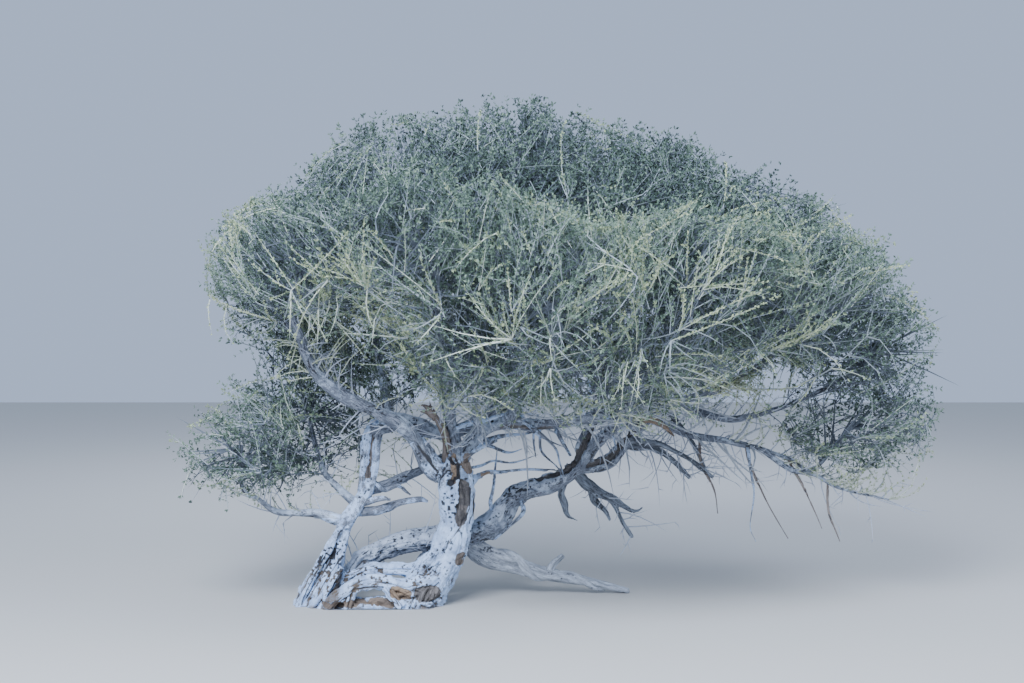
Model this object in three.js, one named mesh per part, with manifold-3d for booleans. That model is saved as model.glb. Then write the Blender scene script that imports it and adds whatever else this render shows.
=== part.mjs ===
// A shepherd's tree: several white, twisted stems from one spreading foot, crooked grey boughs,
// and a low wide crown of stiff leafy twigs.
// Millimetres. +X is to the viewer's right, +Y is away from the viewer, +Z is up from level ground.
// The origin is on the flat cut under the trunk.
import * as THREE from "three";
import { mergeVertices } from "three/addons/utils/BufferGeometryUtils.js";
import Module from "manifold-3d";

const wasm = await Module();
wasm.setup();

// Sizes that hold for the whole tree
const gap = 0.3; // clear distance between pieces that touch
const ringSpacing = 150; // about how far apart the rings of corners are along a limb
const groundBlock = { width: 9000, depth: 1000 };
const clearance = 12; // twigs and sprays keep this far from limbs and from the next mass
const seeds = { first: 11, step: 7 }; // one for each mass, so that it keeps its shape

// A mass of foliage is one stem, twigs on the leafy part of it, and sprays of leaves on the twigs.
// Shares are of the length of the stem, twig or spray that they belong to.
const stem = { sides: 5, tipRadius: 13, ringSpacing: 220, leafyShare: 0.6, bendShare: 0.35 };
const twig = { sides: 3, rootRadius: 9, perMass: 7, shortest: 70, sideSprayShare: 0.8 };
const spray = {
  length: 430, // a full spray, and the shortest that is worth its place
  shortest: 230,
  widthShare: 0.46,
  waistShare: 0.45, // where along its length it is widest
  thickness: 18,
  sunk: 16, // how deep its root lies in the twig
  lean: 0.8, // how far a side spray leans away from its twig
  tilt: 0.6, // how far its flat side faces up
};

// Colours of the bark and the leaves
const bark = { pale: 0xd3d6dc, grey: 0x8d9098, dead: 0x6f675f };
const foliageColour = 0x72806a;

// Limbs. A strand is a list of [x, y, z, radius]; a limb is one or more strands joined.
const trunkStrands = [
  [[0, 0, -45, 150], [60, 0, 110, 140], [135, -5, 230, 126], [210, -5, 345, 116], [255, 0, 490, 108],
    [258, 5, 650, 118], [256, 5, 785, 118], [254, 8, 890, 98], [252, 10, 945, 58]],
  [[300, -40, 430, 30], [338, -48, 560, 35], [352, -42, 690, 37], [350, -25, 810, 36], [335, 0, 930, 28]],
  [[160, 20, 255, 78], [15, 40, 215, 60], [-135, 60, 220, 52], [-300, 80, 215, 52], [-445, 90, 145, 62],
    [-575, 60, 50, 76], [-650, 40, -55, 80]],
  [[115, -60, 185, 80], [-25, -90, 125, 62], [-185, -100, 160, 48], [-335, -110, 150, 44],
    [-475, -110, 75, 46], [-590, -100, -40, 46]],
  [[-190, -95, 165, 40], [-150, -120, 105, 34], [-70, -130, 10, 34]],
  [[-360, -105, 155, 36], [-410, -115, 80, 34], [-440, -120, -20, 32]],
  [[-520, 35, 280, 56], [-600, 20, 150, 58], [-690, 0, 35, 48], [-760, -10, -60, 38]],
  [[-510, 50, 235, 60], [-560, 0, 110, 60], [-630, -45, 10, 46], [-690, -60, -50, 34]],
  [[120, -40, -30, 120], [-95, -30, -35, 100], [-295, -20, -35, 92], [-490, 0, -30, 100], [-640, 20, -45, 80]],
  [[60, 40, 40, 112], [55, 150, 30, 100], [40, 250, 10, 92]],
];

const leftStemStrands = [
  [[-600, 35, 60, 60], [-560, 38, 165, 62], [-526, 42, 285, 60], [-498, 50, 415, 56], [-448, 60, 545, 54],
    [-385, 70, 645, 50], [-335, 80, 735, 44], [-322, 82, 790, 26]],
  [[-355, 78, 690, 30], [-347, 80, 800, 30], [-342, 80, 890, 26], [-332, 85, 1035, 26], [-300, 90, 1130, 31],
    [-262, 98, 1178, 34]],
  [[-325, 84, 690, 28], [-290, 86, 790, 28], [-267, 90, 880, 24], [-254, 95, 1035, 25], [-248, 100, 1120, 36],
    [-236, 102, 1165, 42]],
];

const backStemStrands = [
  [[20, 340, -65, 112], [45, 335, 110, 100], [120, 325, 270, 94], [235, 320, 370, 92], [367, 320, 417, 88],
    [520, 325, 500, 82], [601, 330, 630, 74], [691, 335, 705, 68], [872, 340, 752, 64], [985, 335, 800, 58],
    [1075, 332, 868, 50], [1118, 330, 900, 28]],
];

const fallenLimbStrands = [
  [[330, 325, 345, 60], [401, 340, 313, 62], [510, 350, 259, 60], [725, 380, 182, 48], [929, 400, 114, 38],
    [1147, 420, 80, 34], [1300, 432, 45, 28], [1425, 440, 12, 20]],
  [[870, 392, 130, 26], [905, 398, 200, 24], [975, 400, 262, 17]],
];

// A bough runs from its root, which lies inside what bears it, through its waypoints to its tip.
// Its radius falls evenly with the distance from root to tip.
const boughs = {
  back_arm: { bark: "pale", radii: [38, 88],
    path: [[-560, 110, 5], [-470, 170, 140], [-400, 215, 235], [-328, 240, 290], [-116, 270, 362],
      [43, 300, 385], [190, 315, 385]] },
  left_bough: { bark: "grey", radii: [62, 22],
    path: [[215, 0, 830], [115, -5, 915], [5, -20, 1075], [-95, -60, 1185], [-220, -110, 1255], [-385, -180, 1340],
      [-570, -260, 1470], [-645, -330, 1595], [-685, -400, 1755]] },
  left_side_bough: { bark: "grey", radii: [24, 15],
    path: [[-385, -178, 1342], [-535, -120, 1465], [-660, -60, 1595], [-745, -20, 1710], [-845, 0, 1840],
      [-945, 20, 1930]] },
  cross_bough: { bark: "grey", radii: [52, 36],
    path: [[-246, 100, 1150], [-125, 150, 1185], [-15, 220, 1150], [145, 300, 1095], [310, 360, 1130],
      [480, 420, 1235], [585, 458, 1350]] },
  rear_bough: { bark: "grey", radii: [35, 18],
    path: [[560, 450, 1320], [635, 478, 1450], [700, 500, 1790], [735, 500, 2135], [720, 480, 2440]] },
  middle_bough: { bark: "grey", radii: [52, 18],
    path: [[258, 20, 880], [235, 60, 1135], [190, 100, 1395], [90, 150, 1790], [-15, 180, 2185], [-60, 190, 2455]] },
  crossing_bough: { bark: "grey", radii: [50, 16],
    path: [[262, 15, 870], [330, 40, 1010], [420, 60, 1110], [571, 100, 1185], [855, 150, 1165], [1187, 185, 1210],
      [1350, 215, 1240], [1497, 225, 1300], [1680, 225, 1500], [1880, 250, 1850], [2010, 300, 2200]] },
  front_bough: { bark: "grey", radii: [30, 15],
    path: [[235, 65, 1130], [235, -120, 1290], [215, -450, 1520], [180, -820, 1860]] },
  low_front_left_bough: { bark: "grey", radii: [26, 14],
    path: [[405, 60, 1105], [400, -150, 1215], [400, -480, 1370]] },
  near_bough: { bark: "grey", radii: [32, 15],
    path: [[571, 100, 1185], [690, -200, 1310], [800, -600, 1520], [860, -980, 1680]] },
  back_left_bough: { bark: "grey", radii: [36, 16],
    path: [[-195, 118, 1165], [-225, 300, 1320], [-300, 620, 1655], [-385, 900, 2010]] },
  low_left_bough: { bark: "pale", radii: [34, 16],
    path: [[-465, 58, 530], [-625, 60, 580], [-770, 50, 590], [-910, 40, 605], [-1025, 30, 690]] },
  low_back_left_bough: { bark: "grey", radii: [30, 15],
    path: [[-385, 70, 645], [-510, 180, 730], [-625, 300, 825], [-685, 380, 945], [-730, 460, 1085]] },
  dark_bough: { bark: "grey", radii: [34, 16],
    path: [[-345, 78, 725], [-120, 250, 790], [70, 450, 870], [335, 800, 1015], [540, 1100, 1200]] },
  top_bough: { bark: "grey", radii: [42, 17],
    path: [[1075, 330, 870], [1130, 320, 1050], [1195, 310, 1185], [1240, 310, 1420], [1270, 340, 1790],
      [1305, 370, 2130], [1350, 380, 2415]] },
  near_right_bough: { bark: "grey", radii: [38, 16],
    path: [[1085, 325, 868], [1215, 240, 1055], [1380, 60, 1225], [1535, -220, 1420], [1630, -560, 1630],
      [1660, -750, 1770]] },
  right_bough: { bark: "grey", radii: [44, 17],
    path: [[1060, 332, 862], [1265, 345, 885], [1370, 340, 1000], [1505, 315, 1165], [1620, 280, 1285],
      [1875, 180, 1350], [2125, 80, 1475], [2340, 0, 1630]] },
  far_right_bough: { bark: "grey", radii: [29, 14],
    path: [[1600, 288, 1262], [1730, 330, 1305], [1895, 330, 1245], [2125, 300, 1195], [2490, 270, 1290],
      [2855, 250, 1470]] },
  low_right_bough: { bark: "grey", radii: [27, 13],
    path: [[1540, 305, 1200], [1790, 310, 1100], [2075, 270, 1050], [2285, 240, 1000], [2480, 215, 930]] },
  trailing_limb: { bark: "grey", radii: [17, 7],
    path: [[2275, 242, 1003], [2470, 200, 868], [2640, 180, 830], [2800, 165, 745], [3120, 150, 668]] },
  low_middle_bough: { bark: "grey", radii: [26, 14],
    path: [[1335, 105, 1185], [1390, -100, 1185], [1365, -400, 1235]] },
  back_right_bough: { bark: "grey", radii: [28, 15],
    path: [[1610, 285, 1275], [1750, 520, 1415], [1960, 780, 1620], [2170, 1000, 1795]] },
  back_middle_bough: { bark: "grey", radii: [28, 15],
    path: [[1210, 310, 1240], [1170, 560, 1515], [1080, 850, 1830], [1015, 1050, 2085]] },
  low_back_right_bough: { bark: "grey", radii: [27, 14],
    path: [[1490, 320, 1150], [1560, 520, 1190], [1620, 760, 1260], [1650, 950, 1310]] },
  dead_snag: { bark: "dead", radii: [36, 16],
    path: [[222, 15, 895], [205, 25, 1070], [145, 30, 1200], [78, 25, 1290]] },
  hanging_limb: { bark: "dead", radii: [32, 11],
    path: [[1040, 332, 840], [1210, 345, 700], [1305, 345, 625], [1385, 330, 485], [1440, 330, 395]] },
  crooked_limb: { bark: "dead", radii: [26, 12],
    path: [[1370, 340, 1005], [1523, 340, 1003], [1638, 335, 966], [1725, 325, 900], [1826, 310, 796]] },
  twin_crooked_limb: { bark: "dead", radii: [22, 11],
    path: [[1420, 325, 1055], [1590, 250, 1030], [1732, 235, 972], [1873, 235, 885], [1973, 240, 802]] },
  drooping_limb: { bark: "dead", radii: [20, 9],
    path: [[1665, 305, 1268], [1795, 360, 1110], [1895, 365, 940], [1965, 355, 790]] },
};

// Masses of foliage: the bough that bears each, its heart, and how far it reaches along X, Y and Z
const masses = {
  crown_top_left: { bough: "middle_bough", heart: [-110, 200, 2820], reach: [660, 700, 470] },
  crown_top: { bough: "rear_bough", heart: [690, 420, 2960], reach: [720, 760, 440] },
  crown_top_right: { bough: "top_bough", heart: [1480, 380, 2780], reach: [700, 760, 410] },
  crown_high_right: { bough: "crossing_bough", heart: [2240, 320, 2470], reach: [670, 740, 450] },
  crown_near_left: { bough: "left_bough", heart: [-610, -640, 2200], reach: [630, 650, 500] },
  crown_near: { bough: "front_bough", heart: [170, -1080, 2250], reach: [700, 740, 520] },
  crown_near_middle: { bough: "near_bough", heart: [900, -1300, 1990], reach: [680, 720, 520] },
  crown_near_right: { bough: "near_right_bough", heart: [1680, -1010, 2080], reach: [700, 740, 540] },
  crown_right: { bough: "right_bough", heart: [2520, -330, 1980], reach: [720, 760, 520] },
  crown_far_right: { bough: "far_right_bough", heart: [3080, 320, 1670], reach: [560, 720, 510] },
  crown_left: { bough: "left_side_bough", heart: [-890, 90, 2200], reach: [530, 700, 500] },
  skirt_left: { bough: "low_left_bough", heart: [-1130, -10, 1040], reach: [520, 620, 400] },
  skirt_back_left: { bough: "low_back_left_bough", heart: [-760, 600, 1270], reach: [540, 640, 600] },
  skirt_right: { bough: "low_right_bough", heart: [2900, 200, 1180], reach: [600, 700, 380] },
  skirt_near_middle: { bough: "low_middle_bough", heart: [1330, -760, 1580], reach: [620, 620, 380] },
  skirt_near_left: { bough: "low_front_left_bough", heart: [430, -760, 1650], reach: [600, 600, 390] },
  crown_back_left: { bough: "back_left_bough", heart: [-450, 1230, 2320], reach: [740, 760, 560] },
  crown_back: { bough: "back_middle_bough", heart: [960, 1520, 2480], reach: [800, 780, 560] },
  crown_back_right: { bough: "back_right_bough", heart: [2380, 1340, 2130], reach: [800, 780, 560] },
  skirt_back_right: { bough: "low_back_right_bough", heart: [1760, 1330, 1430], reach: [600, 640, 380] },
  skirt_back: { bough: "dark_bough", heart: [540, 1480, 1600], reach: [780, 680, 460] },
};

// The same numbers in the same order every time, between 0 and 1
function seeded(seed) {
  let state = seed;
  return () => {
    state = (Math.imul(state, 1664525) + 1013904223) >>> 0;
    return state / 4294967296;
  };
}

// The first three numbers of a waypoint, as a vector
const at = ([x, y, z]) => new THREE.Vector3(x, y, z);

function curveThrough(waypoints) {
  return new THREE.CatmullRomCurve3(waypoints.map(at), false, "catmullrom", 0.5);
}

// The value at share t of a list of evenly spaced values
function between(values, t) {
  const place = Math.min(t * (values.length - 1), values.length - 1 - 1e-9);
  const i = Math.floor(place);
  return THREE.MathUtils.lerp(values[i], values[i + 1], place - i);
}

// Thick limbs are rounder than thin ones
function sidesFor(radius) {
  if (radius > 90) return 10;
  return radius > 40 ? 7 : 5;
}

// A closed cylinder bent along a strand, its radius following the strand's radii.
// grow makes it that much larger all round, for cutting its neighbours clear of it.
function bentAlong(strand, { sides, grow = 0, spacing = ringSpacing } = {}) {
  const curve = curveThrough(strand);
  const radii = strand.map((waypoint) => waypoint[3]);
  sides ??= sidesFor(Math.max(...radii));
  const steps = Math.max(1, Math.round(curve.getLength() / spacing));
  const frames = curve.computeFrenetFrames(steps);
  const shape = new THREE.CylinderGeometry(1, 1, 1, sides, steps);
  const corners = shape.getAttribute("position");
  for (let i = 0; i < corners.count; i++) {
    const along = corners.getY(i) + 0.5;
    const ring = Math.round(along * steps);
    const radius = between(radii, curve.getUtoTmapping(along)) + grow;
    const past = ring === 0 ? -grow : ring === steps ? grow : 0;
    const place = curve.getPointAt(along)
      .addScaledVector(frames.tangents[ring], past)
      .addScaledVector(frames.binormals[ring], corners.getX(i) * radius)
      .addScaledVector(frames.normals[ring], corners.getZ(i) * radius);
    corners.setXYZ(i, place.x, place.y, place.z);
  }
  return shape;
}

function solidOf(geometry) {
  const bare = geometry.clone();
  bare.deleteAttribute("normal");
  bare.deleteAttribute("uv");
  const merged = mergeVertices(bare, 1e-3);
  return new wasm.Manifold(new wasm.Mesh({
    numProp: 3,
    vertProperties: merged.getAttribute("position").array,
    triVerts: new Uint32Array(merged.index.array),
  }));
}

function geometryOf(solid) {
  const mesh = solid.getMesh();
  const corners = new Float32Array(mesh.numVert * 3);
  for (let i = 0; i < mesh.numVert; i++) {
    corners.set(mesh.vertProperties.subarray(i * mesh.numProp, i * mesh.numProp + 3), i * 3);
  }
  const geometry = new THREE.BufferGeometry();
  geometry.setAttribute("position", new THREE.BufferAttribute(corners, 3));
  geometry.setIndex(new THREE.BufferAttribute(mesh.triVerts, 1));
  geometry.computeVertexNormals();
  return geometry;
}

const joined = (solids) => solids.reduce((all, next) => all.add(next));

// The largest body: hollows that the joining sealed are filled, and loose scraps are dropped
function largestBody(solid) {
  return solid.decompose().reduce((best, next) => (next.volume() > best.volume() ? next : best));
}

const soil = solidOf(
  new THREE.BoxGeometry(groundBlock.width, groundBlock.width, groundBlock.depth)
    .translate(0, 0, -groundBlock.depth / 2),
);

const tree = new THREE.Group();
const placed = []; // every limb so far, larger all round by the gap
const strands = []; // every limb's strands

function addNode(name, solid, colour) {
  const material = new THREE.MeshStandardMaterial({ color: colour, roughness: 0.9, metalness: 0 });
  const mesh = new THREE.Mesh(geometryOf(solid), material);
  mesh.name = name;
  tree.add(mesh);
}

function boxesMeet(a, b) {
  return [0, 1, 2].every((k) => a.min[k] < b.max[k] && b.min[k] < a.max[k]);
}

// A limb is cut flat at ground level and clear of the limbs before it
function addLimb(name, itsStrands, colour) {
  let solid = joined(itsStrands.map((strand) => solidOf(bentAlong(strand)))).subtract(soil);
  const grown = joined(itsStrands.map((strand) => solidOf(bentAlong(strand, { grow: gap }))));
  for (const earlier of placed) {
    if (boxesMeet(solid.boundingBox(), earlier.boundingBox())) solid = solid.subtract(earlier);
  }
  placed.push(grown);
  strands.push(...itsStrands);
  addNode(name, largestBody(solid), colour);
}

// Each waypoint gets the radius that falls evenly along the bough
function tapered({ path, radii }) {
  const reached = [0];
  for (let i = 1; i < path.length; i++) {
    reached.push(reached[i - 1] + at(path[i]).distanceTo(at(path[i - 1])));
  }
  return path.map((point, i) => [
    ...point,
    THREE.MathUtils.lerp(radii[0], radii[1], reached[i] / reached[path.length - 1]),
  ]);
}

addLimb("trunk", trunkStrands, bark.pale);
addLimb("left_stem", leftStemStrands, bark.pale);
addLimb("back_stem", backStemStrands, bark.pale);
addLimb("fallen_limb", fallenLimbStrands, bark.dead);
for (const [name, bough] of Object.entries(boughs)) {
  addLimb(name, [tapered(bough)], bark[bough.bark]);
}

// Balls along every limb, which twigs and sprays have to stay clear of
const ballSpacing = 25;
const limbBalls = [];
for (const strand of strands) {
  const curve = curveThrough(strand);
  const count = Math.ceil(curve.getLength() / ballSpacing);
  for (let i = 0; i <= count; i++) {
    const radius = between(strand.map((waypoint) => waypoint[3]), curve.getUtoTmapping(i / count));
    limbBalls.push({ centre: curve.getPointAt(i / count), radius });
  }
}

function clearOfLimbs(place, halfWidth) {
  return limbBalls.every(({ centre, radius }) => place.distanceTo(centre) > radius + halfWidth + clearance);
}

// A mass owns what lies inside its reach, nearer its own heart than any other's, and clear of the limbs
function inSpace(mass, place, halfWidth) {
  const fromHeart = place.clone().sub(mass.middle);
  if (fromHeart.clone().divide(mass.size).length() > 1) return false;
  const nearest = Object.values(masses).every((other) => {
    if (other === mass) return true;
    const across = other.middle.clone().sub(mass.middle);
    const distance = across.length();
    return fromHeart.dot(across) / distance < distance / 2 - halfWidth - clearance;
  });
  return nearest && clearOfLimbs(place, halfWidth);
}

// How far something of the given half width can go from a place before leaving the mass's space
function roomAhead(mass, from, direction, halfWidthAt) {
  const stride = 20;
  let gone = 0;
  while (inSpace(mass, from.clone().addScaledVector(direction, gone + stride), halfWidthAt(gone + stride))) {
    gone += stride;
  }
  return gone;
}

// Half the width of a full spray at a distance from its root
function sprayHalfWidth(distance) {
  const share = distance / spray.length;
  const fullness = Math.min(share / spray.waistShare, (1 - share) / (1 - spray.waistShare));
  return Math.max((fullness * spray.widthShare * spray.length) / 2, spray.thickness);
}

// A spray of leaves as one long flat blade of eight faces
function sprayBlade(root, along, up, length) {
  const side = new THREE.Vector3().crossVectors(along, up).normalize();
  const face = new THREE.Vector3().crossVectors(side, along).normalize();
  const shape = new THREE.OctahedronGeometry(1);
  const corners = shape.getAttribute("position");
  for (let i = 0; i < corners.count; i++) {
    const y = corners.getY(i);
    const share = y > 0 ? THREE.MathUtils.lerp(spray.waistShare, 1, y) : spray.waistShare * (1 + y);
    const place = root.clone()
      .addScaledVector(side, (corners.getX(i) * spray.widthShare * length) / 2)
      .addScaledVector(face, (corners.getZ(i) * spray.thickness) / 2)
      .addScaledVector(along, share * length - spray.sunk);
    corners.setXYZ(i, place.x, place.y, place.z);
  }
  return solidOf(shape);
}

// A straight three-sided twig that runs out to a point
function twigSpike(start, end) {
  const length = start.distanceTo(end);
  const along = end.clone().sub(start).normalize();
  const shape = new THREE.ConeGeometry(twig.rootRadius, length, twig.sides).translate(0, length / 2, 0);
  shape.applyQuaternion(new THREE.Quaternion().setFromUnitVectors(new THREE.Vector3(0, 1, 0), along));
  return solidOf(shape.translate(start.x, start.y, start.z));
}

// Directions spread evenly over a ball, the first of them along the axis
function spreadDirection(i, count, axis, turn) {
  const height = 1 - (2 * i) / (count - 0.5);
  const angle = i * Math.PI * (3 - Math.sqrt(5)) + turn;
  const flat = Math.sqrt(1 - height * height);
  const onto = new THREE.Quaternion().setFromUnitVectors(new THREE.Vector3(0, 0, 1), axis);
  return new THREE.Vector3(flat * Math.cos(angle), flat * Math.sin(angle), height).applyQuaternion(onto);
}

// The stem goes on from the tip of its bough and bends towards the heart of the mass
function stemStrand(mass) {
  const { path, radii } = boughs[mass.bough];
  const tip = at(path[path.length - 1]);
  const onward = tip.clone().sub(at(path[path.length - 2])).normalize();
  const root = tip.clone().addScaledVector(onward, gap);
  const bend = root.clone().addScaledVector(onward, root.distanceTo(mass.middle) * stem.bendShare);
  return [
    [...root.toArray(), radii[1]],
    [...bend.toArray(), (radii[1] + stem.tipRadius) / 2],
    [...mass.middle.toArray(), stem.tipRadius],
  ];
}

// A spray that reaches as far as its space allows, or none where there is too little room
function spraysAt(mass, root, along, spin) {
  const length = Math.min(spray.length, roomAhead(mass, root, along, sprayHalfWidth));
  if (length < spray.shortest) return [];
  return [sprayBlade(root, along, new THREE.Vector3(Math.cos(spin), Math.sin(spin), spray.tilt), length)];
}

// One twig with a spray at its tip and one at its side. The tip's spray ends where the space does.
function growTwig(mass, start, direction, spin) {
  const room = roomAhead(mass, start, direction, () => twig.rootRadius);
  const length = Math.max(room - spray.length + spray.sunk, Math.min(room, twig.shortest));
  if (length < twig.shortest) return [];
  const tip = start.clone().addScaledVector(direction, length);
  const point = start.clone()
    .addScaledVector(direction, Math.min(length + spray.length * spray.waistShare, room));
  const aside = new THREE.Vector3(Math.cos(spin), Math.sin(spin), spray.tilt).normalize();
  const leaning = direction.clone().addScaledVector(aside, spray.lean).normalize();
  return [
    twigSpike(start, point),
    ...spraysAt(mass, tip, direction, spin),
    ...spraysAt(mass, start.clone().lerp(tip, twig.sideSprayShare), leaning, spin + Math.PI / 2),
  ];
}

function growMass(mass, seed) {
  const random = seeded(seed);
  const strand = stemStrand(mass);
  const curve = curveThrough(strand);
  const pieces = [solidOf(bentAlong(strand, { sides: stem.sides, spacing: stem.ringSpacing }))];
  const outward = mass.middle.clone().sub(crownHeart).normalize();
  const turn = random() * 2 * Math.PI;
  for (let i = 0; i < twig.perMass; i++) {
    const start = curve.getPointAt(1 - (stem.leafyShare * (i + random() / 2)) / twig.perMass);
    const target = spreadDirection(i, twig.perMass, outward, turn).multiply(mass.size).add(mass.middle);
    pieces.push(...growTwig(mass, start, target.sub(start).normalize(), random() * 2 * Math.PI));
  }
  return largestBody(joined(pieces));
}

const crownHeart = new THREE.Vector3();
for (const mass of Object.values(masses)) {
  mass.middle = at(mass.heart);
  mass.size = at(mass.reach);
  crownHeart.addScaledVector(mass.middle, 1 / Object.keys(masses).length);
}
Object.entries(masses).forEach(([name, mass], i) => {
  addNode(name, growMass(mass, seeds.first + seeds.step * i), foliageColour);
});

export default tree;
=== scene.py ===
# A shepherd's tree: chalky, twisted stems on one foot, crooked grey boughs, dead limbs
# and a low crown that is a thicket of stiff leafy shoots.
# Sizes and places are in millimetres until a mesh is made, which is in metres.
import math
import bpy
import numpy as np
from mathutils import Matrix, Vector
from mathutils.kdtree import KDTree

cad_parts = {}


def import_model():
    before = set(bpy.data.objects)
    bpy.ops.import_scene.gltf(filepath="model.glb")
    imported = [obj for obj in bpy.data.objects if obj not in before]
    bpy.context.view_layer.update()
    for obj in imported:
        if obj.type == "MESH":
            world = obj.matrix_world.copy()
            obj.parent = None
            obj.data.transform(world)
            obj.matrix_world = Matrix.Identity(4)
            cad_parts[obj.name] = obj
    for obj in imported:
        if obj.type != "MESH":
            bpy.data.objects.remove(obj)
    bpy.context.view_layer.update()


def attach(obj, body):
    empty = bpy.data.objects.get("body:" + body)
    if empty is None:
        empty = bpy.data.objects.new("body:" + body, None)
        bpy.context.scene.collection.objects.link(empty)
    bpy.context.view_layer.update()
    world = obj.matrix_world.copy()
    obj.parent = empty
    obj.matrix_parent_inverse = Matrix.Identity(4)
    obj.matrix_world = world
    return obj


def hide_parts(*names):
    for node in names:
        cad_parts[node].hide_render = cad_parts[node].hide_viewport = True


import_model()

metre = 1000
up = np.array([0.0, 0.0, 1.0])


# Camera, floor and light
view = {
    "place": (0.63, -9.0, 1.713), "aim": 90.0,  # level, at eye height
    "sensor": 36.0, "pixelsWide": 1024, "pixelsToTree": 1384.6,  # a metre at 9 m is 153.8 pixels
}
studio = {
    "floor": 60.0, "floorColour": 0xCFCBC4,
    "sky": 0xC2D7FA, "skyStrength": 0.85,
    "lamps": [  # place, turn, size in metres, watts, colour
        ((-1.6, -8.0, 7.6), (56, 0, -17), 5.0, 2050, 0xDFEBFF),
        ((6.5, -4.0, 7.5), (42, 0, 55), 6.0, 470, 0xDAE7FF),
        ((0.5, 7.0, 8.5), (-40, 0, 180), 7.0, 470, 0xDDE9FF),
    ],
}


def linear(hexColour):
    parts = [(hexColour >> shift & 255) / 255 for shift in (16, 8, 0)]
    return [c / 12.92 if c <= 0.04045 else ((c + 0.055) / 1.055) ** 2.4 for c in parts] + [1.0]


def addNode(tree, kind, inputs=None, **settings):
    node = tree.nodes.new(kind)
    for name, value in settings.items():
        setattr(node, name, value)
    for name, value in (inputs or {}).items():
        if isinstance(value, bpy.types.NodeSocket):
            tree.links.new(value, node.inputs[name])
        else:
            node.inputs[name].default_value = value
    return node


def newMaterial(name):
    material = bpy.data.materials.new(name)
    material.use_nodes = True
    return material, material.node_tree, material.node_tree.nodes["Principled BSDF"]


def deselectAll():
    bpy.ops.object.select_all(action="DESELECT")


def pick(thing):
    deselectAll()
    thing.hide_set(False)
    thing.select_set(True)
    bpy.context.view_layer.objects.active = thing


def applyModifier(thing, kind, **settings):
    pick(thing)
    modifier = thing.modifiers.new(kind.lower(), kind)
    for name, value in settings.items():
        setattr(modifier, name, value)
    bpy.ops.object.modifier_apply(modifier=modifier.name)


def setUpStudio():
    deselectAll()
    bpy.ops.object.camera_add(location=view["place"], rotation=(math.radians(view["aim"]), 0, 0))
    camera = bpy.context.object
    camera.data.sensor_width = view["sensor"]
    camera.data.lens = view["sensor"] * view["pixelsToTree"] / view["pixelsWide"]
    bpy.context.scene.camera = camera
    for place, turn, size, watts, colour in studio["lamps"]:
        bpy.ops.object.light_add(type="AREA", location=place, rotation=[math.radians(a) for a in turn])
        lamp = bpy.context.object.data
        lamp.shape = "DISK"
        lamp.size = size
        lamp.energy = watts
        lamp.color = linear(colour)[:3]
    sky = bpy.data.worlds.new("softSky")
    sky.use_nodes = True
    background = sky.node_tree.nodes["Background"]
    background.inputs["Color"].default_value = linear(studio["sky"])
    background.inputs["Strength"].default_value = studio["skyStrength"]
    bpy.context.scene.world = sky
    bpy.ops.mesh.primitive_plane_add(size=studio["floor"], location=(0, 0, -0.001))
    floor = bpy.context.object
    floor.name = "studioFloor"
    paper, shader = newMaterial("matteFloor")[::2]
    shader.inputs["Base Color"].default_value = linear(studio["floorColour"])
    shader.inputs["Roughness"].default_value = 0.9
    floor.data.materials.append(paper)


setUpStudio()
print("studio ready")


# Limbs: each strand is a list of (x, y, z, radius) from root to tip
trunkStrands = [
    [(0, 0, -45, 150), (60, 0, 110, 140), (135, -5, 230, 126), (210, -5, 345, 116), (255, 0, 490, 108),
     (258, 5, 650, 118), (256, 5, 785, 118), (254, 8, 890, 98), (252, 10, 945, 58)],
    [(300, -40, 430, 30), (338, -48, 560, 35), (352, -42, 690, 37), (350, -25, 810, 36),
     (335, 0, 930, 28)],
    [(160, 20, 255, 78), (15, 40, 215, 60), (-135, 60, 220, 52), (-300, 80, 215, 52), (-445, 90, 145, 62),
     (-575, 60, 50, 76), (-650, 40, -55, 80)],
    [(115, -60, 185, 80), (-25, -90, 125, 62), (-185, -100, 160, 48), (-335, -110, 150, 44),
     (-475, -110, 75, 46), (-590, -100, -40, 46)],
    [(-190, -95, 165, 40), (-150, -120, 105, 34), (-70, -130, 10, 34)],
    [(-360, -105, 155, 36), (-410, -115, 80, 34), (-440, -120, -20, 32)],
    [(-520, 35, 280, 56), (-600, 20, 150, 58), (-690, 0, 35, 48), (-760, -10, -60, 38)],
    [(-510, 50, 235, 60), (-560, 0, 110, 60), (-630, -45, 10, 46), (-690, -60, -50, 34)],
    [(120, -40, -30, 120), (-95, -30, -35, 100), (-295, -20, -35, 92), (-490, 0, -30, 100),
     (-640, 20, -45, 80)],
    [(60, 40, 40, 112), (55, 150, 30, 100), (40, 250, 10, 92)],
]
leftStemStrands = [
    [(-600, 35, 60, 60), (-560, 38, 165, 62), (-526, 42, 285, 60), (-498, 50, 415, 56),
     (-448, 60, 545, 54), (-385, 70, 645, 50), (-335, 80, 735, 44), (-322, 82, 790, 26)],
    [(-355, 78, 690, 30), (-347, 80, 800, 30), (-342, 80, 890, 26), (-332, 85, 1035, 26),
     (-300, 90, 1130, 31), (-262, 98, 1178, 34)],
    [(-325, 84, 690, 28), (-290, 86, 790, 28), (-267, 90, 880, 24), (-254, 95, 1035, 25),
     (-248, 100, 1120, 36), (-236, 102, 1165, 42)],
]
backStemStrands = [
    [(20, 340, -65, 112), (45, 335, 110, 100), (120, 325, 270, 94), (235, 320, 370, 92),
     (367, 320, 417, 88), (520, 325, 500, 82), (601, 330, 630, 74), (691, 335, 705, 68),
     (872, 340, 752, 64), (985, 335, 800, 58), (1075, 332, 868, 50), (1118, 330, 900, 28)],
]
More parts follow.
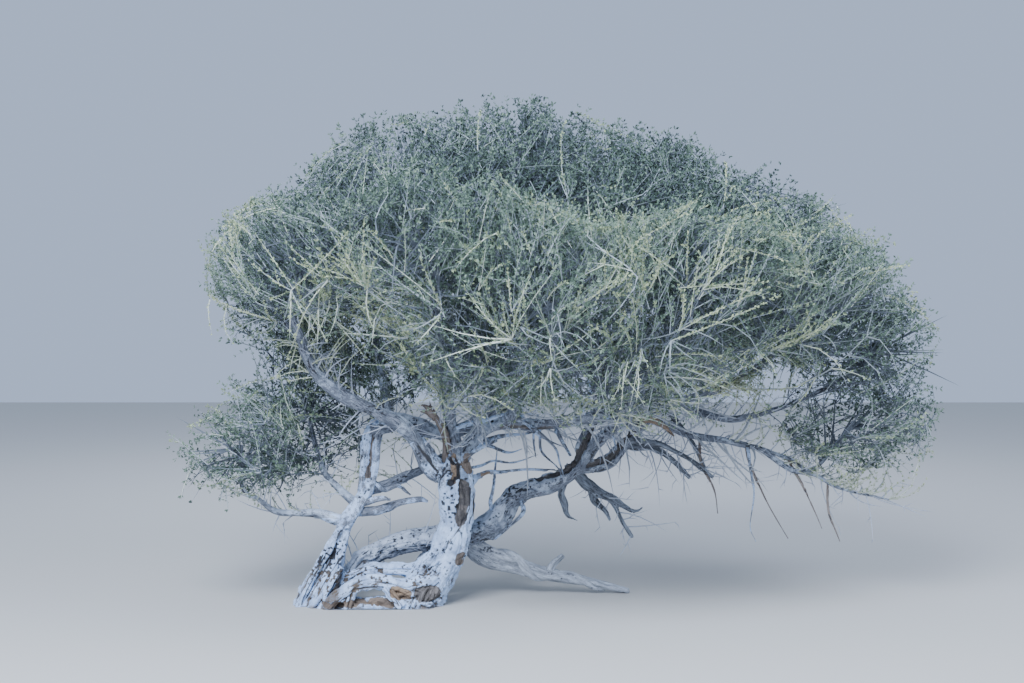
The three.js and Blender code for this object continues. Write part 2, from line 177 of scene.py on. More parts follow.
# Ridges that run down the foot of the left stem, with grooves between them that get painted shade
footRidges = [
    [(-462, 5, 545, 18), (-545, -8, 400, 24), (-622, -15, 265, 27), (-706, -32, 100, 27),
     (-752, -40, -15, 22)],
    [(-440, 0, 480, 18), (-498, -25, 300, 26), (-583, -52, 165, 28), (-662, -72, -12, 25)],
    [(-470, -35, 250, 20), (-545, -72, 130, 24), (-605, -98, -10, 22)],
    [(-590, 15, 350, 15), (-672, 8, 200, 21), (-738, 2, 85, 23), (-778, 0, -10, 18)],
]
# A knob under the fork, and the wood that shows in the gap between the strands of the left stem
knob = [(330, -30, 790, 34), (368, 0, 806, 32), (398, 30, 826, 18)]
gapWood = [(-318, 98, 800, 18), (-304, 100, 880, 15), (-298, 104, 960, 15), (-292, 106, 1040, 15),
           (-276, 108, 1110, 22)]
fallenLimbStrands = [
    [(330, 325, 345, 60), (401, 340, 313, 62), (510, 350, 259, 60), (725, 380, 182, 48),
     (929, 400, 114, 38), (1147, 420, 80, 34), (1300, 432, 45, 28), (1425, 440, 12, 20)],
    [(870, 392, 130, 26), (905, 398, 200, 24), (975, 400, 262, 17)],
]

# Boughs: radius at root and tip, how chalky the bark is at root and tip, and the route
def limb(radii, chalk, path):
    return {"radii": radii, "chalk": chalk, "path": path}


boughs = {
    "back_arm": limb((38, 88), None,
        [(-560, 110, 5), (-470, 170, 140), (-400, 215, 235), (-328, 240, 290), (-116, 270, 362),
         (43, 300, 385), (190, 315, 385)]),
    "left_bough": limb((62, 22), (0.4, 0.15),
        [(215, 0, 830), (115, -5, 915), (5, -20, 1075), (-95, -60, 1185), (-220, -110, 1255),
         (-385, -180, 1340), (-570, -260, 1470), (-645, -330, 1595), (-685, -400, 1755)]),
    "left_side_bough": limb((24, 15), (0.3, 0.2),
        [(-385, -178, 1342), (-535, -120, 1465), (-660, -60, 1595), (-745, -20, 1710), (-845, 0, 1840),
         (-945, 20, 1930)]),
    "cross_bough": limb((52, 36), (0.5, 0.25),
        [(-246, 100, 1150), (-125, 150, 1185), (-15, 220, 1150), (145, 300, 1095), (310, 360, 1130),
         (480, 420, 1235), (585, 458, 1350)]),
    "rear_bough": limb((35, 18), (0.3, 0.1),
        [(560, 450, 1320), (635, 478, 1450), (700, 500, 1790), (735, 500, 2135), (720, 480, 2440)]),
    "middle_bough": limb((52, 18), (0.35, 0.1),
        [(258, 20, 880), (235, 60, 1135), (190, 100, 1395), (90, 150, 1790), (-15, 180, 2185),
         (-60, 190, 2455)]),
    "crossing_bough": limb((50, 16), (0.4, 0.15),
        [(262, 15, 870), (330, 40, 1010), (420, 60, 1110), (571, 100, 1185), (855, 150, 1165),
         (1187, 185, 1210), (1350, 215, 1240), (1497, 225, 1300), (1680, 225, 1500), (1880, 250, 1850),
         (2010, 300, 2200)]),
    "front_bough": limb((30, 15), (0.3, 0.15),
        [(235, 65, 1130), (235, -120, 1290), (215, -450, 1520), (180, -820, 1860)]),
    "low_front_left_bough": limb((26, 14), (0.4, 0.2),
        [(405, 60, 1105), (400, -150, 1215), (400, -480, 1370)]),
    "near_bough": limb((32, 15), (0.4, 0.2),
        [(571, 100, 1185), (690, -200, 1310), (800, -600, 1520), (860, -980, 1680)]),
    "back_left_bough": limb((36, 16), (0.4, 0.15),
        [(-195, 118, 1165), (-225, 300, 1320), (-300, 620, 1655), (-385, 900, 2010)]),
    "low_left_bough": limb((34, 16), (0.6, 0.25),
        [(-465, 58, 530), (-625, 60, 580), (-770, 50, 590), (-910, 40, 605), (-1025, 30, 690)]),
    "low_back_left_bough": limb((30, 15), (0.5, 0.2),
        [(-385, 70, 645), (-510, 180, 730), (-625, 300, 825), (-685, 380, 945), (-730, 460, 1085)]),
    "dark_bough": limb((34, 16), (0.05, 0.0),
        [(-345, 78, 725), (-120, 250, 790), (70, 450, 870), (335, 800, 1015), (540, 1100, 1200)]),
    "top_bough": limb((42, 17), (0.35, 0.1),
        [(1075, 330, 870), (1130, 320, 1050), (1195, 310, 1185), (1240, 310, 1420), (1270, 340, 1790),
         (1305, 370, 2130), (1350, 380, 2415)]),
    "near_right_bough": limb((38, 16), (0.4, 0.15),
        [(1085, 325, 868), (1215, 240, 1055), (1380, 60, 1225), (1535, -220, 1420), (1630, -560, 1630),
         (1660, -750, 1770)]),
    "right_bough": limb((44, 17), (0.35, 0.1),
        [(1060, 332, 862), (1265, 345, 885), (1370, 340, 1000), (1505, 315, 1165), (1620, 280, 1285),
         (1875, 180, 1350), (2125, 80, 1475), (2340, 0, 1630)]),
    "far_right_bough": limb((29, 14), (0.35, 0.15),
        [(1600, 288, 1262), (1730, 330, 1305), (1895, 330, 1245), (2125, 300, 1195), (2490, 270, 1290),
         (2855, 250, 1470)]),
    "low_right_bough": limb((27, 13), (0.35, 0.15),
        [(1540, 305, 1200), (1790, 310, 1100), (2075, 270, 1050), (2285, 240, 1000), (2480, 215, 930)]),
    "trailing_limb": limb((17, 7), (0.35, 0.3),
        [(2275, 242, 1003), (2470, 200, 868), (2640, 180, 830), (2800, 165, 745), (3120, 150, 668)]),
    "low_middle_bough": limb((26, 14), (0.3, 0.15),
        [(1335, 105, 1185), (1390, -100, 1185), (1365, -400, 1235)]),
    "back_right_bough": limb((28, 15), (0.25, 0.1),
        [(1610, 285, 1275), (1750, 520, 1415), (1960, 780, 1620), (2170, 1000, 1795)]),
    "back_middle_bough": limb((28, 15), (0.25, 0.1),
        [(1210, 310, 1240), (1170, 560, 1515), (1080, 850, 1830), (1015, 1050, 2085)]),
    "low_back_right_bough": limb((27, 14), (0.25, 0.1),
        [(1490, 320, 1150), (1560, 520, 1190), (1620, 760, 1260), (1650, 950, 1310)]),
    "dead_snag": limb((36, 16), None,
        [(222, 15, 895), (205, 25, 1070), (145, 30, 1200), (78, 25, 1290)]),
    "hanging_limb": limb((32, 11), None,
        [(1040, 332, 840), (1210, 345, 700), (1305, 345, 625), (1385, 330, 485), (1440, 330, 395)]),
    "crooked_limb": limb((26, 12), None,
        [(1370, 340, 1005), (1523, 340, 1003), (1638, 335, 966), (1725, 325, 900), (1826, 310, 796)]),
    "twin_crooked_limb": limb((22, 11), None,
        [(1420, 325, 1055), (1590, 250, 1030), (1732, 235, 972), (1873, 235, 885), (1973, 240, 802)]),
    "drooping_limb": limb((20, 9), None,
        [(1665, 305, 1268), (1795, 360, 1110), (1895, 365, 940), (1965, 355, 790)]),
}

# Masses of foliage: the bough that bears each, its heart, how far it reaches, and how shaded it is
masses = {
    "crown_top_left": ("middle_bough", (-110, 200, 2820), (660, 700, 470), 0.0),
    "crown_top": ("rear_bough", (690, 420, 2960), (720, 760, 440), 0.0),
    "crown_top_right": ("top_bough", (1480, 380, 2780), (700, 760, 410), 0.05),
    "crown_high_right": ("crossing_bough", (2240, 320, 2470), (670, 740, 450), 0.15),
    "crown_near_left": ("left_bough", (-610, -640, 2200), (630, 650, 500), 0.08),
    "crown_near": ("front_bough", (170, -1080, 2250), (700, 740, 520), 0.0),
    "crown_near_middle": ("near_bough", (900, -1300, 1990), (680, 720, 520), 0.0),
    "crown_near_right": ("near_right_bough", (1680, -1010, 2080), (700, 740, 540), 0.0),
    "crown_right": ("right_bough", (2520, -330, 1980), (720, 760, 520), 0.1),
    "crown_far_right": ("far_right_bough", (3080, 320, 1670), (560, 720, 510), 0.25),
    "crown_left": ("left_side_bough", (-890, 90, 2200), (530, 700, 500), 0.14),
    "skirt_left": ("low_left_bough", (-1130, -10, 1040), (520, 620, 400), 0.3),
    "skirt_back_left": ("low_back_left_bough", (-760, 600, 1270), (540, 640, 600), 0.4),
    "skirt_right": ("low_right_bough", (2900, 200, 1180), (600, 700, 380), 0.2),
    "skirt_near_middle": ("low_middle_bough", (1330, -760, 1580), (620, 620, 380), 0.1),
    "skirt_near_left": ("low_front_left_bough", (430, -760, 1650), (600, 600, 390), 0.1),
    "crown_back_left": ("back_left_bough", (-450, 1230, 2320), (740, 760, 560), 0.1),
    "crown_back": ("back_middle_bough", (960, 1520, 2480), (800, 780, 560), 0.1),
    "crown_back_right": ("back_right_bough", (2380, 1340, 2130), (800, 780, 560), 0.1),
    "skirt_back_right": ("low_back_right_bough", (1760, 1330, 1430), (600, 640, 380), 0.3),
    "skirt_back": ("dark_bough", (540, 1480, 1600), (780, 680, 460), 0.35),
}
massNames = list(masses)
hearts, reaches, shades = (np.array([mass[k] for mass in masses.values()], float) for k in (1, 2, 3))
crownHeart = hearts.mean(0)
stemRule = {"tipRadius": 13, "leafyShare": 0.6, "bendShare": 0.35}


# Curves, noise and other sums
def unit(vectors):
    return vectors / np.maximum(np.linalg.norm(vectors, axis=-1, keepdims=True), 1e-9)


def alongCurve(waypoints, shares):
    # places and radii at shares of the length of the smooth curve through the waypoints
    corners = np.array(waypoints, float)
    padded = np.vstack([2 * corners[0] - corners[1], corners, 2 * corners[-1] - corners[-2]])

    def placeAt(turn):
        i = np.clip(turn.astype(int), 0, len(corners) - 2)
        f = (turn - i)[:, None]
        before, start, end, after = (padded[i + k, :3] for k in range(4))
        leaving, arriving = (end - before) / 2, (after - start) / 2
        bend = 3 * (end - start) - 2 * leaving - arriving
        return start + leaving * f + bend * f ** 2 + (2 * (start - end) + leaving + arriving) * f ** 3

    turns = np.linspace(0, len(corners) - 1, 201)
    places = placeAt(turns)
    gone = np.concatenate([[0], np.cumsum(np.linalg.norm(np.diff(places, axis=0), axis=1))])
    turn = np.interp(np.asarray(shares) * gone[-1], gone, turns)
    radii = np.interp(turn, np.arange(len(corners)), corners[:, 3])
    return placeAt(turn), radii, gone[-1]


def tapered(bough):
    path = np.array(bough["path"], float)
    gone = np.concatenate([[0], np.cumsum(np.linalg.norm(np.diff(path, axis=0), axis=1))])
    return np.column_stack([path, np.interp(gone / gone[-1], [0, 1], bough["radii"])])


def cellValues(cells, seed):
    # a value between 0 and 1 for each whole-numbered cell, always the same one
    mixed = cells[..., 0] * 374761393 + cells[..., 1] * 668265263 + cells[..., 2] * 1442695041 + seed * 69069
    mixed = mixed & 0xFFFFFFFF
    mixed = ((mixed ^ (mixed >> 13)) * 1274126177) & 0xFFFFFFFF
    return ((mixed ^ (mixed >> 16)) & 0xFFFF) / 0xFFFF


def softNoise(points, seed=0):
    # smooth values between -1 and 1 that change over one unit
    cells = np.floor(points).astype(np.int64)
    part = points - cells
    part = part * part * (3 - 2 * part)
    total = 0
    for corner in np.ndindex(2, 2, 2):
        weight = np.prod(np.where(np.array(corner) == 1, part, 1 - part), axis=-1)
        total = total + weight * cellValues(cells + np.array(corner), seed)
    return total * 2 - 1


def noisePair(points, size, seed, finerSize, finerSeed, share):
    # noise with a share of finer noise on it
    return softNoise(points / size, seed) + share * softNoise(points / finerSize, finerSeed)


def nearestDot(points, seed):
    # distance to the nearest of dots strewn one a cell, and a value that belongs to that dot
    cells = np.floor(points).astype(np.int64)
    nearest = np.full(len(points), 9.0)
    label = np.zeros(len(points))
    for step in np.ndindex(3, 3, 3):
        other = cells + np.array(step) - 1
        dots = other + np.stack([cellValues(other, seed + k) for k in range(3)], axis=-1)
        distance = np.linalg.norm(points - dots, axis=-1)
        nearer = distance < nearest
        nearest[nearer] = distance[nearer]
        label[nearer] = cellValues(other, seed + 3)[nearer]
    return nearest, label


def ramp(values, low, high):
    share = np.clip((values - low) / (high - low), 0, 1)
    return share * share * (3 - 2 * share)


# Wood: tubes along the strands, fused where they meet, with the relief of the bark moved into the mesh
# How a tube wanders and swells
sway = {"every": 170, "steadyEnd": 120, "swelling": 0.1, "swellingEvery": 1.6}
placesAtOnce = 20000  # keeps the tables of distances small


def tube(name, strand, sides, spacing, wander=0.0, seed=0):
    length = alongCurve(strand, [0, 1])[2]
    count = max(3, int(length / spacing))
    places, radii, length = alongCurve(strand, np.linspace(0, 1, count))
    gone = np.linspace(0, length, count)
    steps = np.stack([gone / sway["every"], np.full(count, seed * 3.7), np.zeros(count)], axis=-1)
    off = np.stack([softNoise(steps + k * 11, seed) for k in range(3)], axis=-1)
    fade = ramp(gone, 0, sway["steadyEnd"]) * ramp(length - gone, 0, sway["steadyEnd"])
    places = places + off * (radii * wander * fade)[:, None]
    swelling = 1 + sway["swelling"] * softNoise(steps * [sway["swellingEvery"], 1, 1] + 40, seed)
    curve = bpy.data.curves.new(name, "CURVE")
    curve.dimensions = "3D"
    curve.bevel_depth = 1.0
    curve.bevel_resolution = (sides - 4) // 2
    curve.use_fill_caps = True
    spline = curve.splines.new("POLY")
    spline.points.add(count - 1)
    spline.points.foreach_set("co", np.column_stack([places / metre, np.ones(count)]).ravel())
    spline.points.foreach_set("radius", radii * swelling / metre)
    thing = bpy.data.objects.new(name, curve)
    bpy.context.scene.collection.objects.link(thing)
    pick(thing)
    bpy.ops.object.convert(target="MESH")
    return bpy.context.object


def joined(name, things):
    deselectAll()
    for thing in things:
        thing.select_set(True)
    bpy.context.view_layer.objects.active = things[0]
    if len(things) > 1:
        bpy.ops.object.join()
    bpy.context.object.name = name
    bpy.context.object.data.name = name
    return bpy.context.object


def spineOf(strand, spacing=12):
    # centres, radii, lengths gone and two cross directions along a strand
    length = alongCurve(strand, [0, 1])[2]
    count = max(4, int(length / spacing))
    centres, radii, length = alongCurve(strand, np.linspace(0, 1, count))
    ways = unit(np.gradient(centres, axis=0))
    sideways = np.cross(ways[0], [0.31, 0.87, 0.38])
    rights = []
    for way in ways:
        sideways = unit(sideways - way * np.dot(sideways, way))
        rights.append(sideways)
    rights = np.array(rights)
    return centres, radii, np.linspace(0, length, count), rights, np.cross(ways, rights)


def grainOf(places, spines):
    # for each place: length gone along the nearest limb, the two distances across it, and its radius
    grain = np.zeros((len(places), 3))
    radius = np.zeros(len(places))
    share = np.zeros(len(places))
    best = np.full(len(places), 1e9)
    for k, (centres, radii, gone, rights, fronts) in enumerate(spines):
        for first in range(0, len(places), placesAtOnce):
            part = slice(first, first + placesAtOnce)
            away = np.linalg.norm(places[part, None] - centres[None], axis=-1) - radii[None]
            i = away.argmin(1)
            least = away[np.arange(len(i)), i]
            closer = least < best[part]
            rows = np.arange(first, first + len(i))[closer]
            i = i[closer]
            off = places[rows] - centres[i]
            grain[rows, 0] = gone[i] + k * 977
            grain[rows, 1] = (off * rights[i]).sum(1)
            grain[rows, 2] = (off * fronts[i]).sum(1)
            radius[rows] = radii[i]
            share[rows] = gone[i] / gone[-1]
            best[rows] = least[closer]
    return grain, radius, share


# Bare strips where the bark has died back: route, half width, depth, how brown and how dark, the dark being
# partly the wood's own and partly painted shade in the sunken strip
bareStrips = [
    ([(320, -90, 800), (322, -95, 730), (314, -100, 645), (298, -100, 560)], 37, 15, 0.2, 0.6),
    ([(362, -70, 765), (358, -75, 650), (334, -80, 580), (308, -85, 535)], 6, 9, 0.1, 0.95),
    ([(390, -45, 745), (387, -45, 620), (363, -60, 552)], 5, 8, 0.1, 0.85),
    ([(258, -95, 812), (262, -85, 870), (258, -70, 930), (242, -50, 985)], 19, 7, 0.9, 0.0),
    ([(236, -85, 800), (292, -80, 850), (288, -70, 915), (225, -50, 960), (205, -20, 1020)],
     18, 20, 0.3, 0.9),
    ([(335, -30, 960), (350, -30, 885)], 28, 5, 0.5, 0.3),
    ([(55, -150, 92), (125, -150, 96)], 56, 14, 0.15, 0.4),
    ([(-120, -130, 108), (-48, -145, 90)], 38, 9, 1.0, 0.0),
    ([(-730, -10, 225), (-772, -20, 140), (-795, -20, 50)], 24, 7, 0.35, 0.75),
    ([(-560, -100, 24), (-420, -115, 30), (-260, -115, 34), (-150, -120, 28)], 25, 5, 0.75, 0.45),
    ([(296, -85, 335), (286, -90, 290)], 26, 6, 0.45, 0.35),
    ([(300, -100, 520), (232, -110, 430), (165, -105, 345)], 5, 8, 0.0, 0.35),
    ([(135, -100, 372), (92, -95, 332), (48, -90, 298)], 8, 10, 0.1, 0.95),
    ([(112, -95, 270), (72, -95, 238), (40, -95, 212)], 6, 9, 0.1, 0.95),
    ([(132, -100, 256), (96, -100, 226), (66, -100, 204)], 5, 8, 0.1, 0.9),
    ([(92, -95, 286), (62, -92, 262)], 5, 8, 0.1, 0.9),
    ([(711, 285, 790), (860, 285, 815), (998, 290, 850), (1070, 290, 940), (1130, 285, 1050),
      (1205, 280, 1150)], 24, 15, 0.1, 0.55),
    ([(1150, 300, 880), (1270, 305, 915), (1345, 300, 985), (1400, 300, 1075), (1480, 290, 1140)],
     23, 14, 0.1, 0.55),
    ([(560, 55, 1150), (700, 75, 1150), (900, 110, 1130)], 15, 10, 0.1, 0.5),
    ([(1240, 250, 1190), (1300, 230, 1230), (1370, 200, 1230)], 20, 7, 0.6, 0.0),
    ([(150, -60, 870), (20, -70, 1040)], 8, 9, 0.0, 0.9),
    ([(182, -60, 900), (70, -70, 1050)], 5, 8, 0.0, 0.9),
    ([(-165, 60, 1180), (-60, 130, 1175)], 12, 8, 0.1, 0.5),
    ([(-312, 70, 830), (-304, 72, 890), (-292, 76, 1040), (-282, 80, 1080)], 12, 3, 0.5, 0.6),
    ([(425, 60, 838), (478, 95, 850)], 12, 1, 1.0, 0.0),
]
# Where pits crowd together: centre and reach
pitClusters = [((225, -100, 645), 120), ((190, -100, 840), 120), ((60, -100, 210), 120),
               ((-300, -60, 230), 170), ((-560, -20, 260), 230), ((640, 260, 740), 150),
               ((330, 230, 400), 140)]


def farFromRoute(places, route):
    # a difference in depth counts a third, because the routes are read from the front
    seen = np.array([1.0, 0.35, 1.0])
    points = np.array(route, float) * seen
    nearest = np.full(len(places), 1e9)
    for start, end in zip(points[:-1], points[1:]):
        span = end - start
        share = np.clip(((places * seen - start) @ span) / (span @ span), 0, 1)
        nearest = np.minimum(nearest, np.linalg.norm(places * seen - start - share[:, None] * span, axis=1))
    return nearest


def ofVertices(mesh, name, kind):
    values = np.zeros(len(mesh.vertices) * 3, kind)
    mesh.vertices.foreach_get(name, values)
    return values.reshape(-1, 3)


# Sizes of the patterns in the relief; three numbers are along and twice across the grain
patternSizes = {
    "lumps": [150, 62, 62], "burls": [190, 120, 120], "twist": 260, "fluteWidth": 22,
    "fineFlutes": [90, 11, 11], "wrinkles": [16, 13, 13], "fineWrinkles": [9, 7, 7],
    "patchEdge": [11, 9, 9], "crowds": [210, 90, 90], "pitWarp": 32, "smallPits": [21, 31, 31],
    "seamEdge": [8, 8, 8], "seamCrowds": [120, 70, 70], "knots": 58, "fineKnots": 26,
    "furrows": [210, 30, 30], "fineFurrows": [130, 17, 17], "stripEdge": 34, "fineStripEdge": 12,
    "wear": 80, "fineWear": 24, "soilEdge": 60,
}
# Heights under which the foot is gnarled, has painted shade in its grooves and between its ridges, and is
# soiled, and the stretch over which each sets in
footLevels = {"gnarled": (560, 330), "shadedGrooves": (430, 240), "ridged": (500, 150), "soiled": (420, 260)}
# Lobes of a limb's section: height as a share of its radius, how many, how fast they wind, where they start
sectionLobes = [(0.09, 2, 1, 0), (0.06, 3, -1.3, 1), (0.03, 5, 2, 0)]
# Reaches of burls and pits are shares of the distance between them, and edges are where they run out
burlRule = {"reach": 0.34, "edge": 0.3, "share": 0.5}
pitRule = {"reach": 0.1, "wider": 0.22, "edge": 0.1, "warp": 13, "clustered": 1.2}
smallPitRule = {"reach": 0.3, "wider": 0.2, "edge": 0.12, "share": 0.85, "rim": 0.66, "rimEdge": 0.25}
# The grooves and the places between the ridges of the foot get painted shade; dark, darker, finerDark and
# betweenDark say how much, and it is darker on the left
footRule = {"furrow": 0.2, "furrowDepth": 1.5, "finerDepth": 0.6, "finerDark": 0.8,
            "leftOf": (-300, 120), "dark": 0.35, "darker": 0.45,  # its left half has darker grooves
            "between": (6, 17), "ridgesLeftOf": (-440, 60), "ridgesBefore": (40, 50), "betweenDark": 0.72}
stripRule = {"fray": 9, "finerFray": 5, "frayedFrom": 22, "edge": (-4, 5), "rimReach": 20, "rimEdge": 12,
             "rimWhere": (-4, 8), "rimHeight": 7, "uneven": 0.4, "palest": 0.4}
soilRule = {"height": 70, "edge": 45, "stretch": 110, "inHollows": 0.8, "marksAndPaintedShade": (0.1, 0.6)}


def lowDown(places, level):
    height, stretch = footLevels[level]
    return ramp(height - places[:, 2], 0, stretch)


def limbShape(grain, radius, size, bark):
    # lumps, flutes and wrinkles, and a section that isn't round, with burls on it
    sizes = patternSizes
    lumps = softNoise(grain / sizes["lumps"], 1) * bark["lumps"]
    angle = np.arctan2(grain[:, 2], grain[:, 1])
    twist = grain[:, 0] / sizes["twist"]
    lobes = sum(height * np.cos(number * angle + winding * twist + start)
                for height, number, winding, start in sectionLobes) * radius * bark["lobes"]
    flutes = noisePair(grain, [bark["fluteLength"], sizes["fluteWidth"], sizes["fluteWidth"]], 2,
                       sizes["fineFlutes"], 3, 0.6)
    wrinkles = noisePair(grain, sizes["wrinkles"], 4, sizes["fineWrinkles"], 5, 0.6)
    farBurl, burlLabel = nearestDot(grain / sizes["burls"], 15)
    burls = ramp(burlRule["reach"] - farBurl, 0, burlRule["edge"]) * (burlLabel < burlRule["share"])
    burls = burls * bark["burls"]
    return (lumps + flutes * bark["flutes"] + wrinkles * bark["wrinkles"]) * size + lobes, burls


def pitting(places, grain, bark, crowded):
    # pits all over the bark and small ones, with rims, where they crowd together
    cluster = np.zeros(len(places))
    for centre, reach in pitClusters:
        cluster = np.maximum(cluster, ramp(reach - np.linalg.norm(places - centre, axis=1), 0, reach * 0.6))
    warp = np.stack([softNoise(grain / patternSizes["pitWarp"], 61 + k) for k in range(3)], axis=-1)
    rule, small = pitRule, smallPitRule
    warped = grain + rule["warp"] * warp
    near, label = nearestDot(warped / bark["pitSpacing"], 6)
    pitted = bark["pitShare"] * (crowded + rule["clustered"] * cluster)
    pits = ramp(rule["reach"] + rule["wider"] * label / bark["pitShare"] - near, 0, rule["edge"])
    pits = pits * (label < pitted)
    near, label = nearestDot(warped / patternSizes["smallPits"], 23)
    pitted = label < small["share"] * cluster * bark["clusters"]
    smallPits = ramp(small["reach"] + small["wider"] * cluster - near, 0, small["edge"]) * pitted
    rims = ramp(small["rim"] - near, 0, small["rimEdge"]) * (1 - smallPits) * pitted
    return np.maximum(pits, smallPits), rims


def gnarledFoot(places, grain, bark):
    # how far the knots and furrows of the foot rise and its grooves sink, and how much painted shade darkens
    # its grooves and the places between its ridges
    if not bark["gnarls"]:
        return 0, 0
    rule, sizes = footRule, patternSizes

    def furrowed(size, seed):
        return ramp(rule["furrow"] - np.abs(softNoise(grain / sizes[size], seed)), 0, rule["furrow"])

    def before(axis, key):
        edge, stretch = rule[key]
        return ramp(edge - places[:, axis], 0, stretch)

    knots = noisePair(places, sizes["knots"], 24, sizes["fineKnots"], 26, 0.5)
    furrows = furrowed("furrows", 25)
    finer = furrowed("fineFurrows", 28) * ramp(knots, -0.3, 0.5)
    rise = knots - rule["furrowDepth"] * furrows - rule["finerDepth"] * finer
    rise = lowDown(places, "gnarled") * bark["gnarls"] * rise
    grooveShade = np.maximum(furrows, rule["finerDark"] * finer) * lowDown(places, "shadedGrooves")
    grooveShade = grooveShade * (rule["dark"] + rule["darker"] * before(0, "leftOf"))
    ridge, ridgeRadius = grainOf(places, [spineOf(strand) for strand in footRidges])[:2]
    # painted shade between the ridges
    between = ramp(np.hypot(ridge[:, 1], ridge[:, 2]) - ridgeRadius + 4 * knots, *rule["between"])
    between = between * lowDown(places, "ridged") * before(0, "ridgesLeftOf")
    return rise, np.maximum(grooveShade, between * before(1, "ridgesBefore") * rule["betweenDark"])


def wearStrips(places, rise, bark):
    # sinks the bare strips, with a raised rim, and says how bare, brown and dark they are; the dark is partly
    # painted shade in the sunken strip
    rule = stripRule
    bare, dark = np.zeros(len(places)), np.zeros(len(places))
    brown = np.full(len(places), bark["brown"])
    frayed = rule["fray"] * softNoise(places / patternSizes["stripEdge"], 12)
    frayed = frayed + rule["finerFray"] * softNoise(places / patternSizes["fineStripEdge"], 19)
    most = rule["fray"] + rule["finerFray"]
    for route, half, depth, brownness, darkness in bareStrips:
        away = farFromRoute(places, route) + frayed * min(1, half / rule["frayedFrom"])
        inside = ramp(half - away, *rule["edge"])
        rim = ramp(half + rule["rimReach"] - away, 0, rule["rimEdge"]) * (1 - inside)
        rim = rim * ramp(frayed, *rule["rimWhere"])
        rise = rise - inside * depth * (1 + rule["uneven"] * frayed / most) + rim * rule["rimHeight"]
        bare = np.maximum(bare, inside)
        brown = np.maximum(brown, inside * brownness)
        dark = np.maximum(dark, inside * darkness * np.clip(1 - frayed / most, rule["palest"], 1))
    return rise, bare, brown, dark


def carve(thing, spines, bark, chalk):
    # moves the mesh by the bark's relief and notes, for the material, where it is chalky, where it has dark
    # marks or painted shade, and where it is bare
    mesh = thing.data
    sizes = patternSizes
    places = ofVertices(mesh, "co", float) * metre
    normals = ofVertices(mesh, "normal", np.float32).astype(float)
    grain, radius, share = grainOf(places, spines)
    size = np.clip(radius / 60, 0.3, 1.4)  # thin limbs have a shallower relief
    shape, burls = limbShape(grain, radius, size, bark)
    patches = noisePair(grain, bark["patchScale"], 16, sizes["patchEdge"], 17, 0.45)
    patches = ramp(patches, bark["patchFrom"], bark["patchFrom"] + 0.2)
    crowded = ramp(softNoise(grain / sizes["crowds"], 18), -0.25, 0.45)
    pits, rims = pitting(places, grain, bark, crowded)
    seams = np.abs(noisePair(grain, bark["seamScale"], 9, sizes["seamEdge"], 10, 0.25))
    wanted = softNoise(grain / sizes["seamCrowds"], 11)
    cracks = ramp(bark["seamWidth"] - seams, 0, bark["seamWidth"]) * ramp(wanted + crowded * 0.3, 0.05, 0.35)
    gnarls, grooveShade = gnarledFoot(places, grain, bark)
    rise = shape + (burls + rims * 3) * size + gnarls
    rise = rise - pits * bark["pitDepth"] * size - cracks * bark["seamDepth"] - patches * bark["patchDepth"]
    rise, bare, brown, dark = wearStrips(places, rise, bark)
    places = places + normals * rise[:, None]
    mesh.vertices.foreach_set("co", (places / metre).ravel())
    mesh.update()
    wear = 0.36 * softNoise(places / sizes["wear"], 13) + 0.26 * softNoise(places / sizes["fineWear"], 20)
    # painted shade: furrows sunk by the relief, the foot's grooves and the sunken strips are darkened, along
    # with the real pits, cracks and bare patches
    creviceShade = ramp(-rise, 3, 16) * (1 - bare) * 0.4 + grooveShade
    marksAndPaintedShade = np.clip(pits + cracks * 0.9 + patches * 0.8 + creviceShade, 0, 1) * (1 - bare)
    rule = soilRule
    height = rule["height"] - places[:, 2] - rule["edge"] * softNoise(places / sizes["soilEdge"], 27)
    soil = ramp(height, 0, rule["stretch"]) * (1 - bare)
    soil = np.maximum(soil, rule["inHollows"] * ramp(marksAndPaintedShade, *rule["marksAndPaintedShade"]) * lowDown(places, "soiled"))
    # paintedTopLight raises the chalk on upward faces: a painted top light
    for name, values in {
        "chalk": chalk(places, share) + wear + bark["paintedTopLight"] * normals[:, 2],
        "soil": soil * bark["soil"], "marksAndPaintedShade": marksAndPaintedShade + dark, "bare": np.maximum(bare, bark["bare"]),
        "brown": brown, "grainAlong": grain[:, 0] / metre, "grainAcross": grain[:, 1] / metre,
        "grainRound": grain[:, 2] / metre,
    }.items():
        attribute = mesh.attributes.new(name, "FLOAT", "POINT")
        attribute.data.foreach_set("value", np.asarray(values, np.float32))


def fuse(thing, voxel, rounds):
    applyModifier(thing, "REMESH", mode="VOXEL", voxel_size=voxel / metre, use_smooth_shade=True)
    applyModifier(thing, "SMOOTH", factor=0.5, iterations=rounds)


def cutAtGround(thing):
    pick(thing)
    bpy.ops.object.mode_set(mode="EDIT")
    bpy.ops.mesh.select_all(action="SELECT")
    bpy.ops.mesh.bisect(plane_co=(0, 0, 0), plane_no=(0, 0, 1), use_fill=True, clear_inner=True)
    bpy.ops.object.mode_set(mode="OBJECT")


def tieToFrame(thing, material, nodes):
    thing.data.materials.clear()
    thing.data.materials.append(material)
    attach(thing, "root")
    if nodes:
        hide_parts(*nodes)
    print(thing.name, len(thing.data.polygons), "faces")


def finishWood(thing, material, nodes):
    pick(thing)
    bpy.ops.object.shade_smooth()
    tieToFrame(thing, material, nodes)


